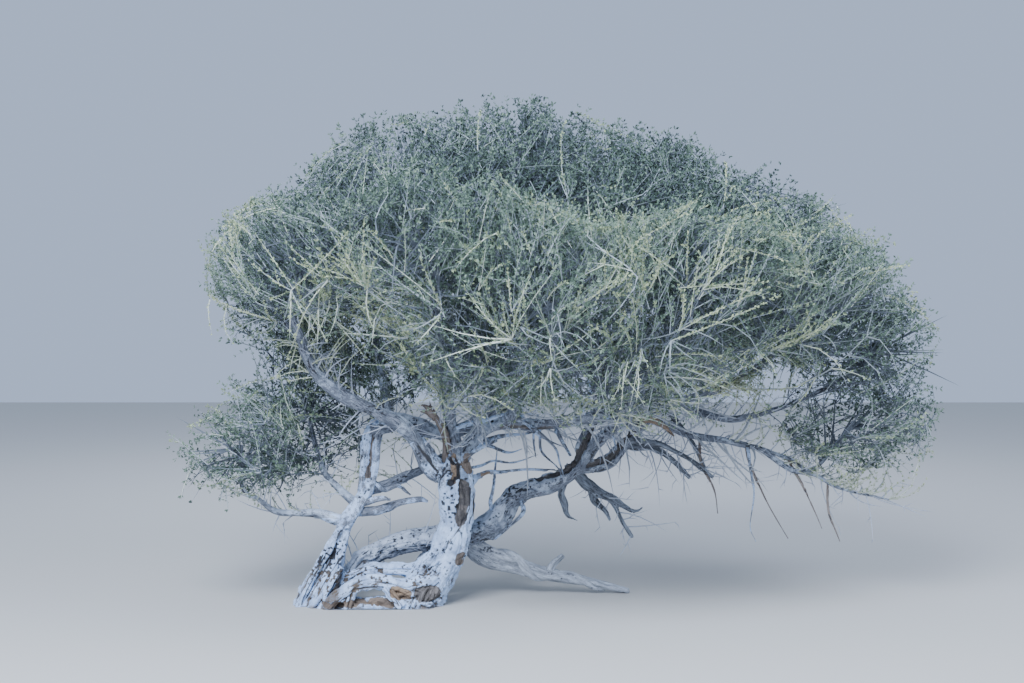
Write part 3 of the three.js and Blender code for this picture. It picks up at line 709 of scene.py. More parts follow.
# Patterns in the bark: how many to a metre, the detail and roughness of the noise, and whether the
# pattern follows the grain
barkPatterns = {
    "fibres": (170, 5, 0.6, True),  # fibres and bark ridges 6 mm apart
    "stains": (14, 4, 0.6, False),  # 70 mm across
    "blotches": (46, 3, 0.6, False),  # worn places 22 mm across
    "specks": (150, 3, 0.7, False),  # flakes 7 mm across
    "crowds": (11, 2, 0.5, False),  # crowds of pits 90 mm across
    "streaks": (52, 3, 0.65, True),  # weathered streaks 19 mm apart
}
grainScales = (0.16, 0.42)  # the patterns are drawn out along the grain, and pin pits less so
# How much the edges of what carve notes wander with those patterns
barkEdges = {"chalk": [("specks", 0.9), ("blotches", 0.8)], "bare": [("fibres", 0.8)],
             "marksAndPaintedShade": [("specks", 0.6)], "soil": [("specks", 0.9)]}
# Where one look gives way to the next: the value that is read, and the two levels between which it does
barkLevels = {
    "ridged": ("fibres", 0.35, 0.62), "stained": ("stains", 0.45, 0.7), "filmed": ("chalk", 0.32, 0.66),
    "shaded": ("stains", 0.35, 0.75), "inPit": ("dots", 0.24, 0.12), "inCrowd": ("crowds", 0.56, 0.68),
    "pale": ("streaked", 0.34, 0.66), "brownish": ("streaked", 0.3, 0.6), "bared": ("bare", 0.3, 0.7),
    "marksAndPaintedShadeShare": ("marksAndPaintedShade", 0.15, 0.95), "soiled": ("soil", 0.35, 0.9),
}
# Looks from the inside out: what each makes, what lies under, what lies over it, and where it does
barkLayers = [
    ("bark", "fissure", "ridge", "ridged"), ("bark", "bark", "stain", "stained"),
    ("film", "chalk", "chalkShade", "shaded"), ("surface", "bark", "film", "filmed"),
    ("surface", "surface", "pitAndPaintedShade", "pinPits"), ("greyWood", "woodDark", "woodPale", "pale"),
    ("brownWood", "brownDark", "brownPale", "brownish"), ("wood", "greyWood", "brownWood", "brown"),
    # the pit colour goes on pits, cracks and bare patches, and as painted shade into crevices, grooves and
    # sunken strips
    ("surface", "surface", "wood", "bared"), ("surface", "surface", "pitAndPaintedShade", "marksAndPaintedShadeShare"),
    ("surface", "surface", "soil", "soiled"),
]


# Bark and dead wood. One function builds them all, because they wear into each other.
def barkMaterial(name, look):
    material, tree, shader = newMaterial(name)
    values = {key: addNode(tree, "ShaderNodeAttribute", attribute_name=key).outputs["Fac"]
              for key in ("chalk", "marksAndPaintedShade", "bare", "brown", "soil", "grainAlong", "grainAcross",
                          "grainRound")}
    place = addNode(tree, "ShaderNodeTexCoord").outputs["Object"]
    grain = addNode(tree, "ShaderNodeCombineXYZ", {"X": values["grainAlong"], "Y": values["grainAcross"],
                                                   "Z": values["grainRound"]}).outputs[0]
    longGrain, dotGrain = (
        addNode(tree, "ShaderNodeMapping", {"Vector": grain, "Scale": (along, 1, 1)}).outputs[0]
        for along in grainScales)
    for pattern, (scale, detail, rough, follows) in barkPatterns.items():
        values[pattern] = addNode(tree, "ShaderNodeTexNoise", {
            "Vector": longGrain if follows else place, "Scale": scale, "Detail": detail,
            "Roughness": rough}).outputs["Fac"]
    dots = addNode(tree, "ShaderNodeTexVoronoi", {"Vector": dotGrain, "Scale": 75.0})  # 13 mm apart
    values["dots"] = dots.outputs["Distance"]

    def reckon(*steps):
        # each step makes a value from two others or numbers
        for made, operation, *parts in steps:
            inputs = {k: values.get(part, part) for k, part in enumerate(parts)}
            values[made] = addNode(tree, "ShaderNodeMath", inputs, operation=operation).outputs[0]

    for value, frays in barkEdges.items():
        for pattern, amount in frays:
            reckon(("off", "SUBTRACT", pattern, 0.5), ("off", "MULTIPLY", "off", amount),
                   (value, "ADD", value, "off"))
    reckon(("fineStreaks", "MULTIPLY", "fibres", 0.4), ("wideStreaks", "MULTIPLY", "streaks", 0.6),
           ("streaked", "ADD", "fineStreaks", "wideStreaks"))
    for share, (value, low, high) in barkLevels.items():
        values[share] = addNode(tree, "ShaderNodeMapRange", {
            "Value": values[value], "From Min": low, "From Max": high},
            interpolation_type="SMOOTHSTEP").outputs["Result"]
    reckon(("pinPits", "MULTIPLY", "inPit", "inCrowd"), ("soiled", "MULTIPLY", "soiled", 0.8))
    looks = {key: linear(colour) for key, colour in look.items() if isinstance(colour, int)}
    for made, under, over, share in barkLayers:
        looks[made] = addNode(tree, "ShaderNodeMix", {"Factor": values[share], 6: looks[under],
                                                      7: looks[over]}, data_type="RGBA").outputs[2]
    tree.links.new(looks["surface"], shader.inputs["Base Color"])
    rough = addNode(tree, "ShaderNodeMapRange", {"Value": values["filmed"], "To Min": 0.78, "To Max": 0.93})
    tree.links.new(rough.outputs[0], shader.inputs["Roughness"])
    shader.inputs["IOR"].default_value = 1.45
    reckon(("fibreRise", "MULTIPLY", "fibres", look["fibreHeight"]), ("speckRise", "MULTIPLY", "specks", 0.7),
           ("height", "ADD", "fibreRise", "speckRise"), ("height", "SUBTRACT", "height", "pinPits"))
    bump = addNode(tree, "ShaderNodeBump", {"Height": values["height"], "Strength": look["bump"],
                                            "Distance": 0.004})
    tree.links.new(bump.outputs[0], shader.inputs["Normal"])
    return material


barkColours = {
    "fissure": 0x444953, "ridge": 0x999FAC, "stain": 0x6C727E, "chalk": 0xC9E0FF, "chalkShade": 0x9BAECD,
    "woodDark": 0x3B3936, "woodPale": 0x918D8D, "brownDark": 0x4A3C33, "brownPale": 0x9F8871, "pitAndPaintedShade": 0x3A3A3E,
    "soil": 0x83725F, "fibreHeight": 0.7, "bump": 0.8,
}
# Living bark under a dry, powdery white film: bluish white, the blue partly painted blue light from the sky,
# with dark pits and short cracks
chalkyBark = barkMaterial("chalkyBark", barkColours)
# The same for the stem in the shade behind: a duller white, partly real dust and wear and partly painted
# shade
shadedDustyBark = barkMaterial("shadedDustyBark", {**barkColours, "chalk": 0xC4CFDF, "chalkShade": 0x959EAD})
# The same bark with little film left: grey ridges with dark fissures between them
fissuredBark = barkMaterial("fissuredBark", {**barkColours, "chalk": 0xC3CFDF, "chalkShade": 0x929CAC,
                                             "fibreHeight": 1.1, "bump": 0.9})
# Wood that has lost its bark to sun and rain: silver grey, with long open grain
weatheredWood = barkMaterial("weatheredWood", {**barkColours, "woodDark": 0x5C5F64, "woodPale": 0xABAFB6,
                                               "fibreHeight": 1.3, "bump": 0.9})
# A limb long dead in the open, bleached almost white and worn smooth
bleachedWood = barkMaterial("bleachedWood", {**barkColours, "woodDark": 0x7D8188, "woodPale": 0xC6CCD6,
                                             "fibreHeight": 0.8, "bump": 0.6})
# Dead limbs in the shade of the crown, still damp and partly barked: dark grey with a rough grain
rottenBark = barkMaterial("rottenBark", {**barkColours, "woodDark": 0x3C3F45, "woodPale": 0x98A0AC,
                                         "fibreHeight": 1.4, "bump": 1.0})

# What the relief of all bark and wood shares, and then what is each kind's own. Lengths are along and
# twice across the grain.
relief = {"pitDepth": 6, "seamDepth": 4.0, "patchDepth": 4.0, "bare": 0.0, "brown": 0.0, "gnarls": 0,
          "clusters": 0, "seamWidth": 0.14, "wrinkles": 1.2}
whiteRelief = {**relief, "lumps": 7, "flutes": 4.4, "fluteLength": 170, "wrinkles": 2.0, "lobes": 1.3,
               "burls": 12, "pitSpacing": [74, 42, 42], "pitShare": 0.26, "seamScale": [15, 30, 30],
               "seamWidth": 0.1, "seamDepth": 3.0, "patchScale": [40, 17, 17], "patchFrom": 0.58,
               "gnarls": 12, "clusters": 1, "soil": 0.85}
greyRelief = {**relief, "lumps": 6, "flutes": 4.2, "fluteLength": 140, "lobes": 1.6, "burls": 10,
              "pitSpacing": [90, 50, 50], "pitShare": 0.22, "seamScale": [80, 15, 15],
              "patchScale": [80, 17, 17], "patchFrom": 0.5, "soil": 0, "paintedTopLight": 0.15}
deadRelief = {**relief, "lumps": 8, "flutes": 4.5, "fluteLength": 240, "lobes": 1.9, "burls": 15,
              "pitSpacing": [110, 50, 50], "pitShare": 0.2, "seamScale": [140, 12, 12],
              "patchScale": [150, 18, 18], "patchFrom": 0.6, "bare": 1.0, "soil": 0.4, "paintedTopLight": 0.0}


def collar(name, reach, grow):
    # the first stretch of a bough, thicker at its root, so that it swells out of what bears it
    strand = tapered(boughs[name])
    length = alongCurve(strand, [0, 1])[2]
    shares = np.linspace(0, reach / length, 8)
    places, radii, length = alongCurve(strand, shares)
    return np.column_stack([places, radii * np.interp(shares, [0, shares[-1]], [grow, 0.8])])


def twined(strand, phase, apart=0.62, thick=0.5, wavelength=900):
    # a slimmer strand that winds round a limb and sinks into it at both ends
    centres, radii, gone, rights, fronts = spineOf(strand, 45)
    angle = (phase + gone * math.tau / wavelength)[:, None]
    share = gone / gone[-1]
    off = (radii * apart * np.minimum(1, 6 * np.minimum(share, 1 - share)))[:, None]
    places = centres + rights * off * np.cos(angle) + fronts * off * np.sin(angle)
    return np.column_stack([places, radii * thick])


# For each white stem: its strands, the boughs that swell out of it (how far and how much), the voxel it
# is fused with, the nodes it stands for, its bark, its painted top light, and how chalky it is along an axis
whiteStems = {
    "frontStem": {"strands": trunkStrands + [knob], "voxel": 5.5, "nodes": ["trunk"], "bark": chalkyBark,
                  "collars": [("left_bough", 330, 1.18), ("middle_bough", 240, 1.1),
                              ("crossing_bough", 330, 1.18)],
                  "paintedTopLight": 0.1, "axis": 2, "at": [520, 720, 830, 1000], "chalk": [0.88, 0.84, 0.6, 0.35]},
    "leftStem": {"strands": leftStemStrands + footRidges + [gapWood], "voxel": 5, "nodes": ["left_stem"],
                 "collars": [("low_left_bough", 160, 1.2), ("cross_bough", 170, 1.1),
                             ("dark_bough", 120, 1.2)], "bark": chalkyBark,
                 "paintedTopLight": 0.1, "axis": 2, "at": [300, 600, 800, 1200], "chalk": [0.8, 0.56, 0.46, 0.42]},
    "backStem": {"strands": [*backStemStrands, twined(backStemStrands[0], 0.5),
                             twined(backStemStrands[0], 3.2), tapered(boughs["back_arm"])],
                 "collars": [("top_bough", 200, 1.15), ("right_bough", 200, 1.15)], "voxel": 5.5,
                 "nodes": ["back_stem", "back_arm"], "bark": shadedDustyBark,
                 "paintedTopLight": 0.32, "axis": 0, "at": [300, 700, 1150], "chalk": [0.62, 0.46, 0.28]},
}


def buildWhiteWood():
    for name, look in whiteStems.items():
        strands = look["strands"] + [collar(*swelling) for swelling in look["collars"]]
        tubes = [tube(f"{name}{i}", strand, 20, 16, 0.12, i) for i, strand in enumerate(strands)]
        thing = joined(name, tubes)
        fuse(thing, look["voxel"], 6)
        carve(thing, [spineOf(strand) for strand in strands], {**whiteRelief, "paintedTopLight": look["paintedTopLight"]},
              lambda places, share: np.interp(places[:, look["axis"]], look["at"], look["chalk"]))
        cutAtGround(thing)
        finishWood(thing, look["bark"], look["nodes"])


def stemStrand(boughName, heart):
    # the stem goes on from the tip of its bough and bends towards the heart of its mass
    path = np.array(boughs[boughName]["path"], float)
    radius = boughs[boughName]["radii"][1]
    onward = unit(path[-1] - path[-2])
    bend = path[-1] + onward * np.linalg.norm(heart - path[-1]) * stemRule["bendShare"]
    tip = stemRule["tipRadius"]
    return [(*path[-1], radius), (*bend, (radius + tip) / 2), (*heart, tip)]


# Two slim strands wind round each thick bough, and one round each thin one
boughRule = {"thickFrom": 35, "thickSides": 26, "sides": 18, "spacing": 8, "strandSides": 12,
             "strandSpacing": 12, "wander": 0.35, "phases": (0.6, 3.1)}


def boughPiece(name, members):
    rule = boughRule
    things = []
    for k, member in enumerate(members):
        strand = [tuple(row) for row in tapered(boughs[member])]
        for mass in masses.values():
            if mass[0] == member:
                strand = strand + stemStrand(member, np.array(mass[1], float))[1:]
        thick = boughs[member]["radii"][0] > rule["thickFrom"]
        low, high = boughs[member]["chalk"]
        strands = [strand] + [twined(strand, phase) for phase in rule["phases"][:2 if thick else 1]]
        for i, each in enumerate(strands):
            sides, spacing = rule["thickSides" if thick else "sides"], rule["spacing"]
            if i:
                sides, spacing = rule["strandSides"], rule["strandSpacing"]
            thing = tube(f"{member}{i}", each, sides, spacing, rule["wander"], k + len(name))
            carve(thing, [spineOf(each)], greyRelief, lambda places, share: low + (high - low) * share)
            things.append(thing)
    finishWood(joined(name, things), fissuredBark, members)


def buildBoughs():
    boughPiece("leftBoughs", ["left_bough", "left_side_bough", "cross_bough", "rear_bough", "middle_bough",
                              "front_bough", "low_front_left_bough", "back_left_bough", "low_left_bough",
                              "low_back_left_bough", "dark_bough"])
    boughPiece("rightBoughs", ["crossing_bough", "near_bough", "top_bough", "near_right_bough", "right_bough",
                               "far_right_bough", "low_right_bough", "trailing_limb", "low_middle_bough",
                               "back_right_bough", "back_middle_bough", "low_back_right_bough"])


# Torn ends of the snag in the fork
splinters = [
    [(118, 28, 1230, 24), (75, 20, 1285, 14), (36, 8, 1300, 4)],
    [(128, 30, 1225, 20), (98, 42, 1295, 10), (90, 48, 1332, 3)],
    [(132, 30, 1212, 18), (72, 42, 1252, 10), (30, 46, 1254, 3)],
]
# Thin dead branches that cross in front of the boughs: routes with radii
deadBranches = [
    [(300, 0, 940, 13), (400, -20, 1005, 10), (533, -35, 1074, 7)],
    [(372, 20, 804, 20), (405, 40, 826, 15), (470, 90, 850, 11), (560, 150, 846, 10), (723, 220, 858, 10),
     (850, 262, 850, 11), (985, 310, 835, 13)],
    [(905, 150, 1168, 12), (895, 90, 1230, 11), (882, 50, 1340, 9), (862, 40, 1470, 6)],
    [(905, 150, 1165, 12), (945, 90, 1085, 10), (1015, 60, 965, 6)],
    [(571, 100, 1185, 12), (650, 50, 1200, 11), (747, 35, 1165, 10), (905, 20, 1030, 8),
     (940, 10, 930, 7), (972, 10, 815, 4)],
    [(1255, 190, 1220, 11), (1280, 140, 1180, 9), (1318, 110, 1000, 4)],
    [(505, 290, 560, 12), (488, 250, 640, 11), (508, 230, 760, 9), (532, 215, 1000, 5)],
    [(690, 300, 640, 14), (702, 260, 570, 12), (610, 230, 480, 9), (517, 215, 395, 6)],
    [(2200, 250, 1020, 10), (2222, 240, 880, 8), (2248, 235, 700, 7), (2215, 230, 490, 5),
     (2255, 228, 380, 3)],
    [(-420, 72, 592, 26), (-330, 92, 588, 25), (-240, 108, 600, 24), (-120, 130, 650, 23),
     (10, 140, 676, 20), (75, 146, 656, 8)],
    [(-385, 72, 640, 20), (-300, 62, 664, 18), (-215, 56, 686, 14), (-165, 56, 680, 5)],
    [(-280, 90, 800, 14), (-215, 110, 735, 12), (-120, 130, 760, 10), (-40, 150, 700, 6)],
    [(700, 150, 1165, 12), (690, 60, 1260, 10), (640, -20, 1330, 8), (655, -60, 1430, 5)],
    [(1120, 180, 1200, 12), (1090, 80, 1280, 10), (1140, 0, 1370, 8), (1120, -40, 1470, 5)],
    [(180, 60, 1110, 14), (302, 20, 1164, 13), (466, 0, 1210, 12), (597, 20, 1243, 10),
     (788, 60, 1237, 5)],
    [(545, 190, 1092, 8), (420, 120, 1012, 10), (302, 90, 940, 11)],
    [(558, 150, 1164, 9), (748, 110, 1125, 8), (880, 90, 1059, 6), (991, 80, 1013, 3)],
    [(801, 160, 1180, 8), (812, 120, 1086, 7), (827, 110, 987, 6), (932, 90, 882, 5), (958, 90, 816, 3)],
    [(350, 70, 884, 9), (426, 140, 895, 7), (505, 190, 921, 6), (640, 180, 915, 6), (801, 200, 961, 3)],
    [(801, 170, 1230, 7), (770, 150, 1090, 6), (788, 140, 948, 3)],
    [(236, 60, 1112, 8), (288, 50, 948, 6)],
    [(250, 230, 985, 18), (340, 260, 1000, 17), (426, 290, 1033, 15), (558, 280, 1086, 13),
     (722, 250, 1096, 9), (860, 230, 1150, 6)],
    [(340, 260, 1010, 11), (470, 330, 1010, 9), (600, 380, 960, 7), (700, 390, 985, 3)],
]
hangingStems = [
    [(2190, 258, 1020, 8), (2225, 250, 880, 7), (2330, 235, 640, 6), (2470, 230, 400, 4)],
    [(2470, 216, 935, 8), (2500, 212, 860, 7), (2590, 205, 700, 6), (2690, 200, 470, 4)],
    [(2720, 176, 788, 7), (2730, 170, 580, 6), (2800, 165, 390, 4)],
    [(1890, 308, 1060, 8), (1900, 300, 900, 7), (1985, 290, 720, 6), (2010, 280, 560, 4)],
]
# The fork and the second strand of the hanging limb, and a broken stub beside it
deadForks = [
    [(1050, 335, 832, 34), (1130, 345, 762, 31), (1215, 345, 700, 29), (1300, 342, 655, 24),
     (1372, 336, 612, 20), (1425, 330, 590, 9)],
    [(1340, 340, 625, 18), (1400, 334, 590, 13), (1467, 330, 570, 10), (1510, 326, 596, 5)],
    [(1150, 345, 745, 22), (1190, 360, 650, 18), (1262, 365, 560, 14), (1292, 366, 505, 9)],
    [(1030, 335, 835, 16), (985, 338, 760, 14), (960, 340, 690, 19), (985, 342, 610, 22),
     (1005, 340, 540, 13), (1075, 335, 505, 6)],
]
tanSpike = [(1500, 310, 1175, 24), (1559, 270, 1189, 20), (1640, 250, 1150, 14), (1712, 240, 1082, 4)]


# Dead limbs: strands, what differs in their relief, their wood and the nodes they stand for
hungLimbs = ["hanging_limb", "crooked_limb", "twin_crooked_limb", "drooping_limb"]
deadPieces = {
    "fallenLimb": (fallenLimbStrands, {"patchFrom": 0.75, "seamWidth": 0.08}, bleachedWood, ["fallen_limb"]),
    "deadLimbs": (deadForks + [tapered(boughs[member]) for member in hungLimbs],
                  {"lumps": 12, "burls": 22, "wrinkles": 2.2}, rottenBark, hungLimbs),
    "tornSnag": ([tapered(boughs["dead_snag"])] + splinters, {"brown": 0.65}, rottenBark, ["dead_snag"]),
}
# Strands too thin to be fused: strands, sides, what differs in their relief, and their wood
loosePieces = {
    "deadBranches": (deadBranches, 10, {"bare": 0.2}, weatheredWood),
    "hangingStems": (hangingStems, 8, {"bare": 0.8, "brown": 0.6}, rottenBark),
    "tanSpike": ([tanSpike], 14, {"brown": 0.9}, weatheredWood),
}


def buildDeadWood():
    for name, (strands, changes, wood, nodes) in deadPieces.items():
        strands = strands + [twined(strand, 1.0, 0.75, 0.6, 420) for strand in strands if len(strand) > 3]
        thing = joined(name, [tube(f"{name}{i}", strand, 16, 12, 0.3, i) for i, strand in enumerate(strands)])
        fuse(thing, 4.5, 3)
        spines = [spineOf(strand) for strand in strands]
        carve(thing, spines, {**deadRelief, **changes}, lambda places, share: 0.0 * share)
        if name == "fallenLimb":
            cutAtGround(thing)
        finishWood(thing, wood, nodes)
    for name, (strands, sides, changes, wood) in loosePieces.items():
        things = []
        for i, strand in enumerate(strands):
            thing = tube(f"{name}{i}", strand, sides, 8, 0.6, i + 5)
            carve(thing, [spineOf(strand)], {**deadRelief, **changes},
                  lambda places, share: 0.5 - 0.1 * share)
            things.append(thing)
        finishWood(joined(name, things), wood, [])


buildWhiteWood()
print("stems ready")
buildBoughs()
print("boughs ready")
buildDeadWood()
print("dead wood ready")


# Foliage. Twigs, side twigs, wands and twiglets are arcs: start + length * (way * s + bow * s * s).
growth = {
    "twigsPerMass": 7, "finerTwigs": 19, "twigRadii": (9, 3.5),
    "blend": 2.0,  # how smoothly the reaches of neighbouring masses run together
    "lumps": ((420, 0.17), (170, 0.12)),  # size and depth of the hollows in the outside of the crown
    "hemLumps": (210, 0.2),  # the same for the hollows in its underside
    # paintedShadeOnTop: the top of the crown is painted darker, as painted shade
    "paintedShadeOnTop": ((2150, 2850), 0.3),  # between these heights the shoots turn darker, by this much
    "upright": (1700, 2600),  # above these heights the shoots stand straight, and lower ones arch over
    "tussock": 250,  # shoots crowd together in tussocks about this far apart
    "startsPerParent": 9, "together": 4,  # places on each twig that shoots start from, and the most at one
    "firstStart": 0.2,  # the first of them, as a share of the twig's length
    "shortest": 0.35, "longest": 1.6,  # shoots outside their rule's lengths by more than this are left out
    "outermost": -0.03,  # the middle of a shoot and the tip of a twiglet lie no further out than this
    "root": np.array([600.0, 0.0, 700.0]),  # shoots lean away from here
    "hem": 230, "hemShare": 0.5,  # the lowest stretch of the crown is thinner
    "shadeUnder": 0.55,  # how much darker the thicket under the crown is
    "aboveGround": 60,  # no twig ends lower than this
}
# Where the photo shows through the crown: centre and reach in the plane of the picture,
# and the share of shoots that still end there or cross it
windows = [((2480, 1350), (230, 170)), ((2730, 1090), (110, 60)), ((-1150, 1560), (260, 110))]
leftInWindow = {"ends": 0.1, "crossings": 0.4}
# Thickets between the masses, on the boughs that pass there: heart and reach
thickets = [((-170, 520, 1560), (400, 460, 300)), ((-960, 220, 1540), (360, 400, 230)),
            ((330, -330, 2640), (640, 440, 330)), ((1560, -330, 2430), (600, 430, 330)),
            ((-560, 150, 2480), (420, 480, 330)), ((780, 560, 2380), (760, 420, 330)),
            ((950, -450, 2480), (420, 330, 280)), ((-620, -700, 2180), (380, 330, 260))]
# For each kind of shoot: how many, how deep in the crown their tips are, how long, how much they fan
# out together and one by one, and how straight they are
sideTwigRule = {"count": 3000, "depths": (0.1, 0.95), "lengths": (260, 560), "fan": 0.8, "scatter": 0.6,
                "bend": 0.10, "turning": 0.35, "radii": (4.4, 2.4), "lift": 0.0, "crowding": 0.3}
innerRule = {"count": 3300, "depths": (0.12, 0.85), "lengths": (220, 480), "fan": 1.0, "scatter": 0.8,
             "bend": 0.14, "turning": 0.3, "radii": (3.0, 1.3), "lift": 0.0, "crowding": 0.8}
wandRule = {"count": 5600, "depths": (-0.05, 0.2), "lengths": (240, 620), "fan": 0.9, "scatter": 0.7,
            "bend": 0.1, "turning": 0.3, "radii": (3.3, 1.4), "lift": 0.07, "crowding": 1.1}
strayRule = {"count": 1000, "depths": (-0.2, -0.04), "lengths": (260, 560), "fan": 0.7, "scatter": 0.5,
             "bend": 0.08, "turning": 0.2, "radii": (3.2, 1.3), "lift": 0.07, "crowding": 0.6, "crossings": 0}
# Sparse, half bare shoots on the boughs and twigs under the crown
tangleRule = {"count": 3500, "depths": (-0.95, 0.1), "lengths": (110, 340), "fan": 1.6, "scatter": 2.2,
              "bend": 0.25, "turning": 0.45, "radii": (5.0, 1.8), "lift": 0.0, "crowding": 0.8,
              "under": 430, "sparse": 2.0,
              "densest": [((620, 120, 1130), (560, 420, 260)), ((2030, 60, 1260), (420, 350, 230))]}
twigletRule = {"perParent": 1, "from": 0.15, "onward": 0.8, "aside": 0.7, "shortest": 60, "longest": 180,
               "radii": (2.2, 1.1), "bow": 0.1, "inCrown": True}
leafRule = {"from": 0.1, "spacing": 25, "perTuft": 3, "length": 22, "width": 10, "fold": 0.2, "waist": 0.58,
            "sizes": (0.65, 1.2), "lift": 0.15, "scatter": 0.15, "jitter": 0.01}


def seeded(seed):
    state = seed
    while True:
        state = (state * 1664525 + 1013904223) & 0xFFFFFFFF
        yield state / 4294967296


def spreadDirection(i, count, axis, turn):
    height = 1 - 2 * i / (count - 0.5)
    angle = i * math.pi * (3 - math.sqrt(5)) + turn
    flat = math.sqrt(1 - height * height)
    onto = Vector((0, 0, 1)).rotation_difference(Vector(axis))
    return np.array(onto @ Vector((flat * math.cos(angle), flat * math.sin(angle), height)))


def depthIn(places):
    # 0 at the outside of the crown and larger further in, below 0 outside it and in its windows
    total, low = 0, 0
    for heart, reach in [*zip(hearts, reaches), *thickets]:
        weight = np.exp(growth["blend"] * (1 - (((places - heart) / reach) ** 2).sum(1)))
        total = total + weight
        low = low + weight * (heart[2] - places[:, 2]) / reach[2]
    depth = np.log(total) / growth["blend"]
    size, deep = growth["hemLumps"]
    depth = depth - deep * ramp(low / total, 0.2, 0.8) * (1 + softNoise(places * [1, 1, 0.4] / size, 33))
    for k, (size, deep) in enumerate(growth["lumps"]):
        depth = depth - deep * (1 + softNoise(places / size, 31 + k))
    return depth


def inWindow(places):
    inside = np.full(len(places), False)
    edge = 1 + 0.35 * softNoise(places / 150, 51)
    for (x, z), (wide, tall) in windows:
        inside |= np.hypot((places[:, 0] - x) / wide, (places[:, 2] - z) / tall) < edge
    return inside


def roomAhead(start, way, mass):
    # how far each arc can go before it leaves the reach of its mass
    across = way / reaches[mass]
    off = (start - hearts[mass]) / reaches[mass]
    a, b, c = (across ** 2).sum(1), 2 * (across * off).sum(1), (off ** 2).sum(1) - 1
    return np.where(c < 0, (-b + np.sqrt(np.maximum(b * b - 4 * a * c, 0))) / (2 * a), 0)


def arcsOf(start, way, bow, length, mass, radii, sparse=1.0):
    count = len(length)
    return {"start": start, "way": way, "bow": bow, "length": length, "mass": mass,
            "radii": np.tile(radii, (count, 1)), "sparse": np.full(count, sparse)}


def growTwigs():
    starts, ways, mass = [], [], []
    for k, name in enumerate(massNames):
        draw = seeded(11 + 7 * k)
        strand = stemStrand(masses[name][0], hearts[k])
        outward = unit(hearts[k] - crownHeart)
        turn = next(draw) * 2 * math.pi
        for count in (growth["twigsPerMass"], growth["finerTwigs"]):
            for i in range(count):
                share = 1 - stemRule["leafyShare"] * (i + next(draw) / 2) / count
                start = alongCurve(strand, [share])[0][0]
                target = spreadDirection(i, count, outward, turn) * reaches[k] + hearts[k]
                starts.append(start)
                ways.append(unit(target - start))
                next(draw)  # the source turns the twig's blades by this draw
                mass.append(k)
            turn += 1.3
    start, way, mass = np.array(starts), np.array(ways), np.array(mass)
    bow = random.normal(size=way.shape) * 0.1
    room = roomAhead(start, unit(way + bow), mass)
    return arcsOf(start, way, bow, room * random.uniform(0.62, 0.9, len(room)), mass, growth["twigRadii"])


def placeOn(arcs, which, share):
    s = share[:, None]
    return arcs["start"][which] + arcs["length"][which][:, None] * (arcs["way"][which] * s
                                                                    + arcs["bow"][which] * s * s)


def wayOn(arcs, which, share):
    return unit(arcs["way"][which] + 2 * arcs["bow"][which] * share[:, None])


def asideOf(along, count):
    # a random direction square to each arc
    loose = random.normal(size=(count, 3))
    return unit(loose - along * (loose * along).sum(1)[:, None])


def strewn(rule):
    # places through the crown between two depths, some of them crowded together
    lowest, highest = (hearts - reaches).min(0), (hearts + reaches).max(0)
    found = np.zeros((0, 3))
    while len(found) < rule["count"]:
        places = random.uniform(lowest, highest, (rule["count"] * 3, 3))
        depth = depthIn(places)
        likely = 0.6 + rule["crowding"] * softNoise(places / growth["tussock"], 35)
        if "under" not in rule:
            likely = likely * np.where(depthIn(places - up * growth["hem"]) < 0, growth["hemShare"], 1)
            likely = likely * (0.8 + 0.4 * ramp(places[:, 2], *growth["upright"]))
        kept = (depth > rule["depths"][0]) & (depth < rule["depths"][1])
        kept &= random.random(len(places)) < likely
        kept &= ~inWindow(places) | (random.random(len(places)) < leftInWindow["ends"])
        if "under" in rule:
            kept &= depthIn(places + up * rule["under"]) > 0.1
            likely = 0.15 + sum(np.exp(-(((places - middle) / reach) ** 2).sum(1))
                                for middle, reach in rule["densest"])
            kept &= random.random(len(places)) < likely
        found = np.vstack([found, places[kept]])
    return found[:rule["count"]]


def growTo(parents, rule):
    # each shoot ends at a place of its own and comes from the nearest fitting place on a parent
    tips = strewn(rule)
    wanted = random.uniform(*rule["lengths"], len(tips))
    fan = np.stack([softNoise(tips / growth["tussock"], 41 + k) for k in range(3)], axis=-1) * rule["fan"]
    back = unit(unit(tips - growth["root"]) + fan + random.normal(size=tips.shape) * rule["scatter"] / 2)
    each = growth["startsPerParent"]
    which = np.repeat(np.arange(len(parents["length"])), each)
    share = np.tile(np.linspace(growth["firstStart"], 1, each), len(parents["length"]))
    bases = placeOn(parents, which, share)
    ways = wayOn(parents, which, share)
    tree = KDTree(len(bases))
    for i, base in enumerate(bases):
        tree.insert(base, i)
    tree.balance()
    chosen = np.array([tree.find(place)[1] for place in tips - back * wanted[:, None]])
    start, mass = bases[chosen], parents["mass"][which[chosen]]
    length = np.linalg.norm(tips - start, axis=1)
    straight = (tips - start) / length[:, None]
    # it sets out more along its parent and then bends towards its own tip
    bow = (straight - ways[chosen]) * rule["turning"] + unit(random.normal(size=tips.shape)) * rule["bend"]
    arching = rule["lift"] * (1.6 - 1.5 * ramp(tips[:, 2], *growth["upright"]))
    bow = bow - up * arching[:, None]
    middle = start + (tips - start) / 2
    order = np.argsort(chosen, kind="stable")
    rank = np.zeros(len(chosen), int)
    rank[order] = np.arange(len(chosen)) - np.searchsorted(chosen[order], chosen[order])
    kept = (length > rule["lengths"][0] * growth["shortest"]) & (rank < growth["together"])
    kept &= length < rule["lengths"][1] * growth["longest"]
    crossings = rule.get("crossings", leftInWindow["crossings"])
    kept &= ~inWindow(middle) | (random.random(len(middle)) < crossings)
    if "under" not in rule:
        kept &= depthIn(middle) > growth["outermost"]
    return arcsOf(start[kept], (straight - bow)[kept], bow[kept], length[kept], mass[kept], rule["radii"],
                  rule.get("sparse", 1.0))


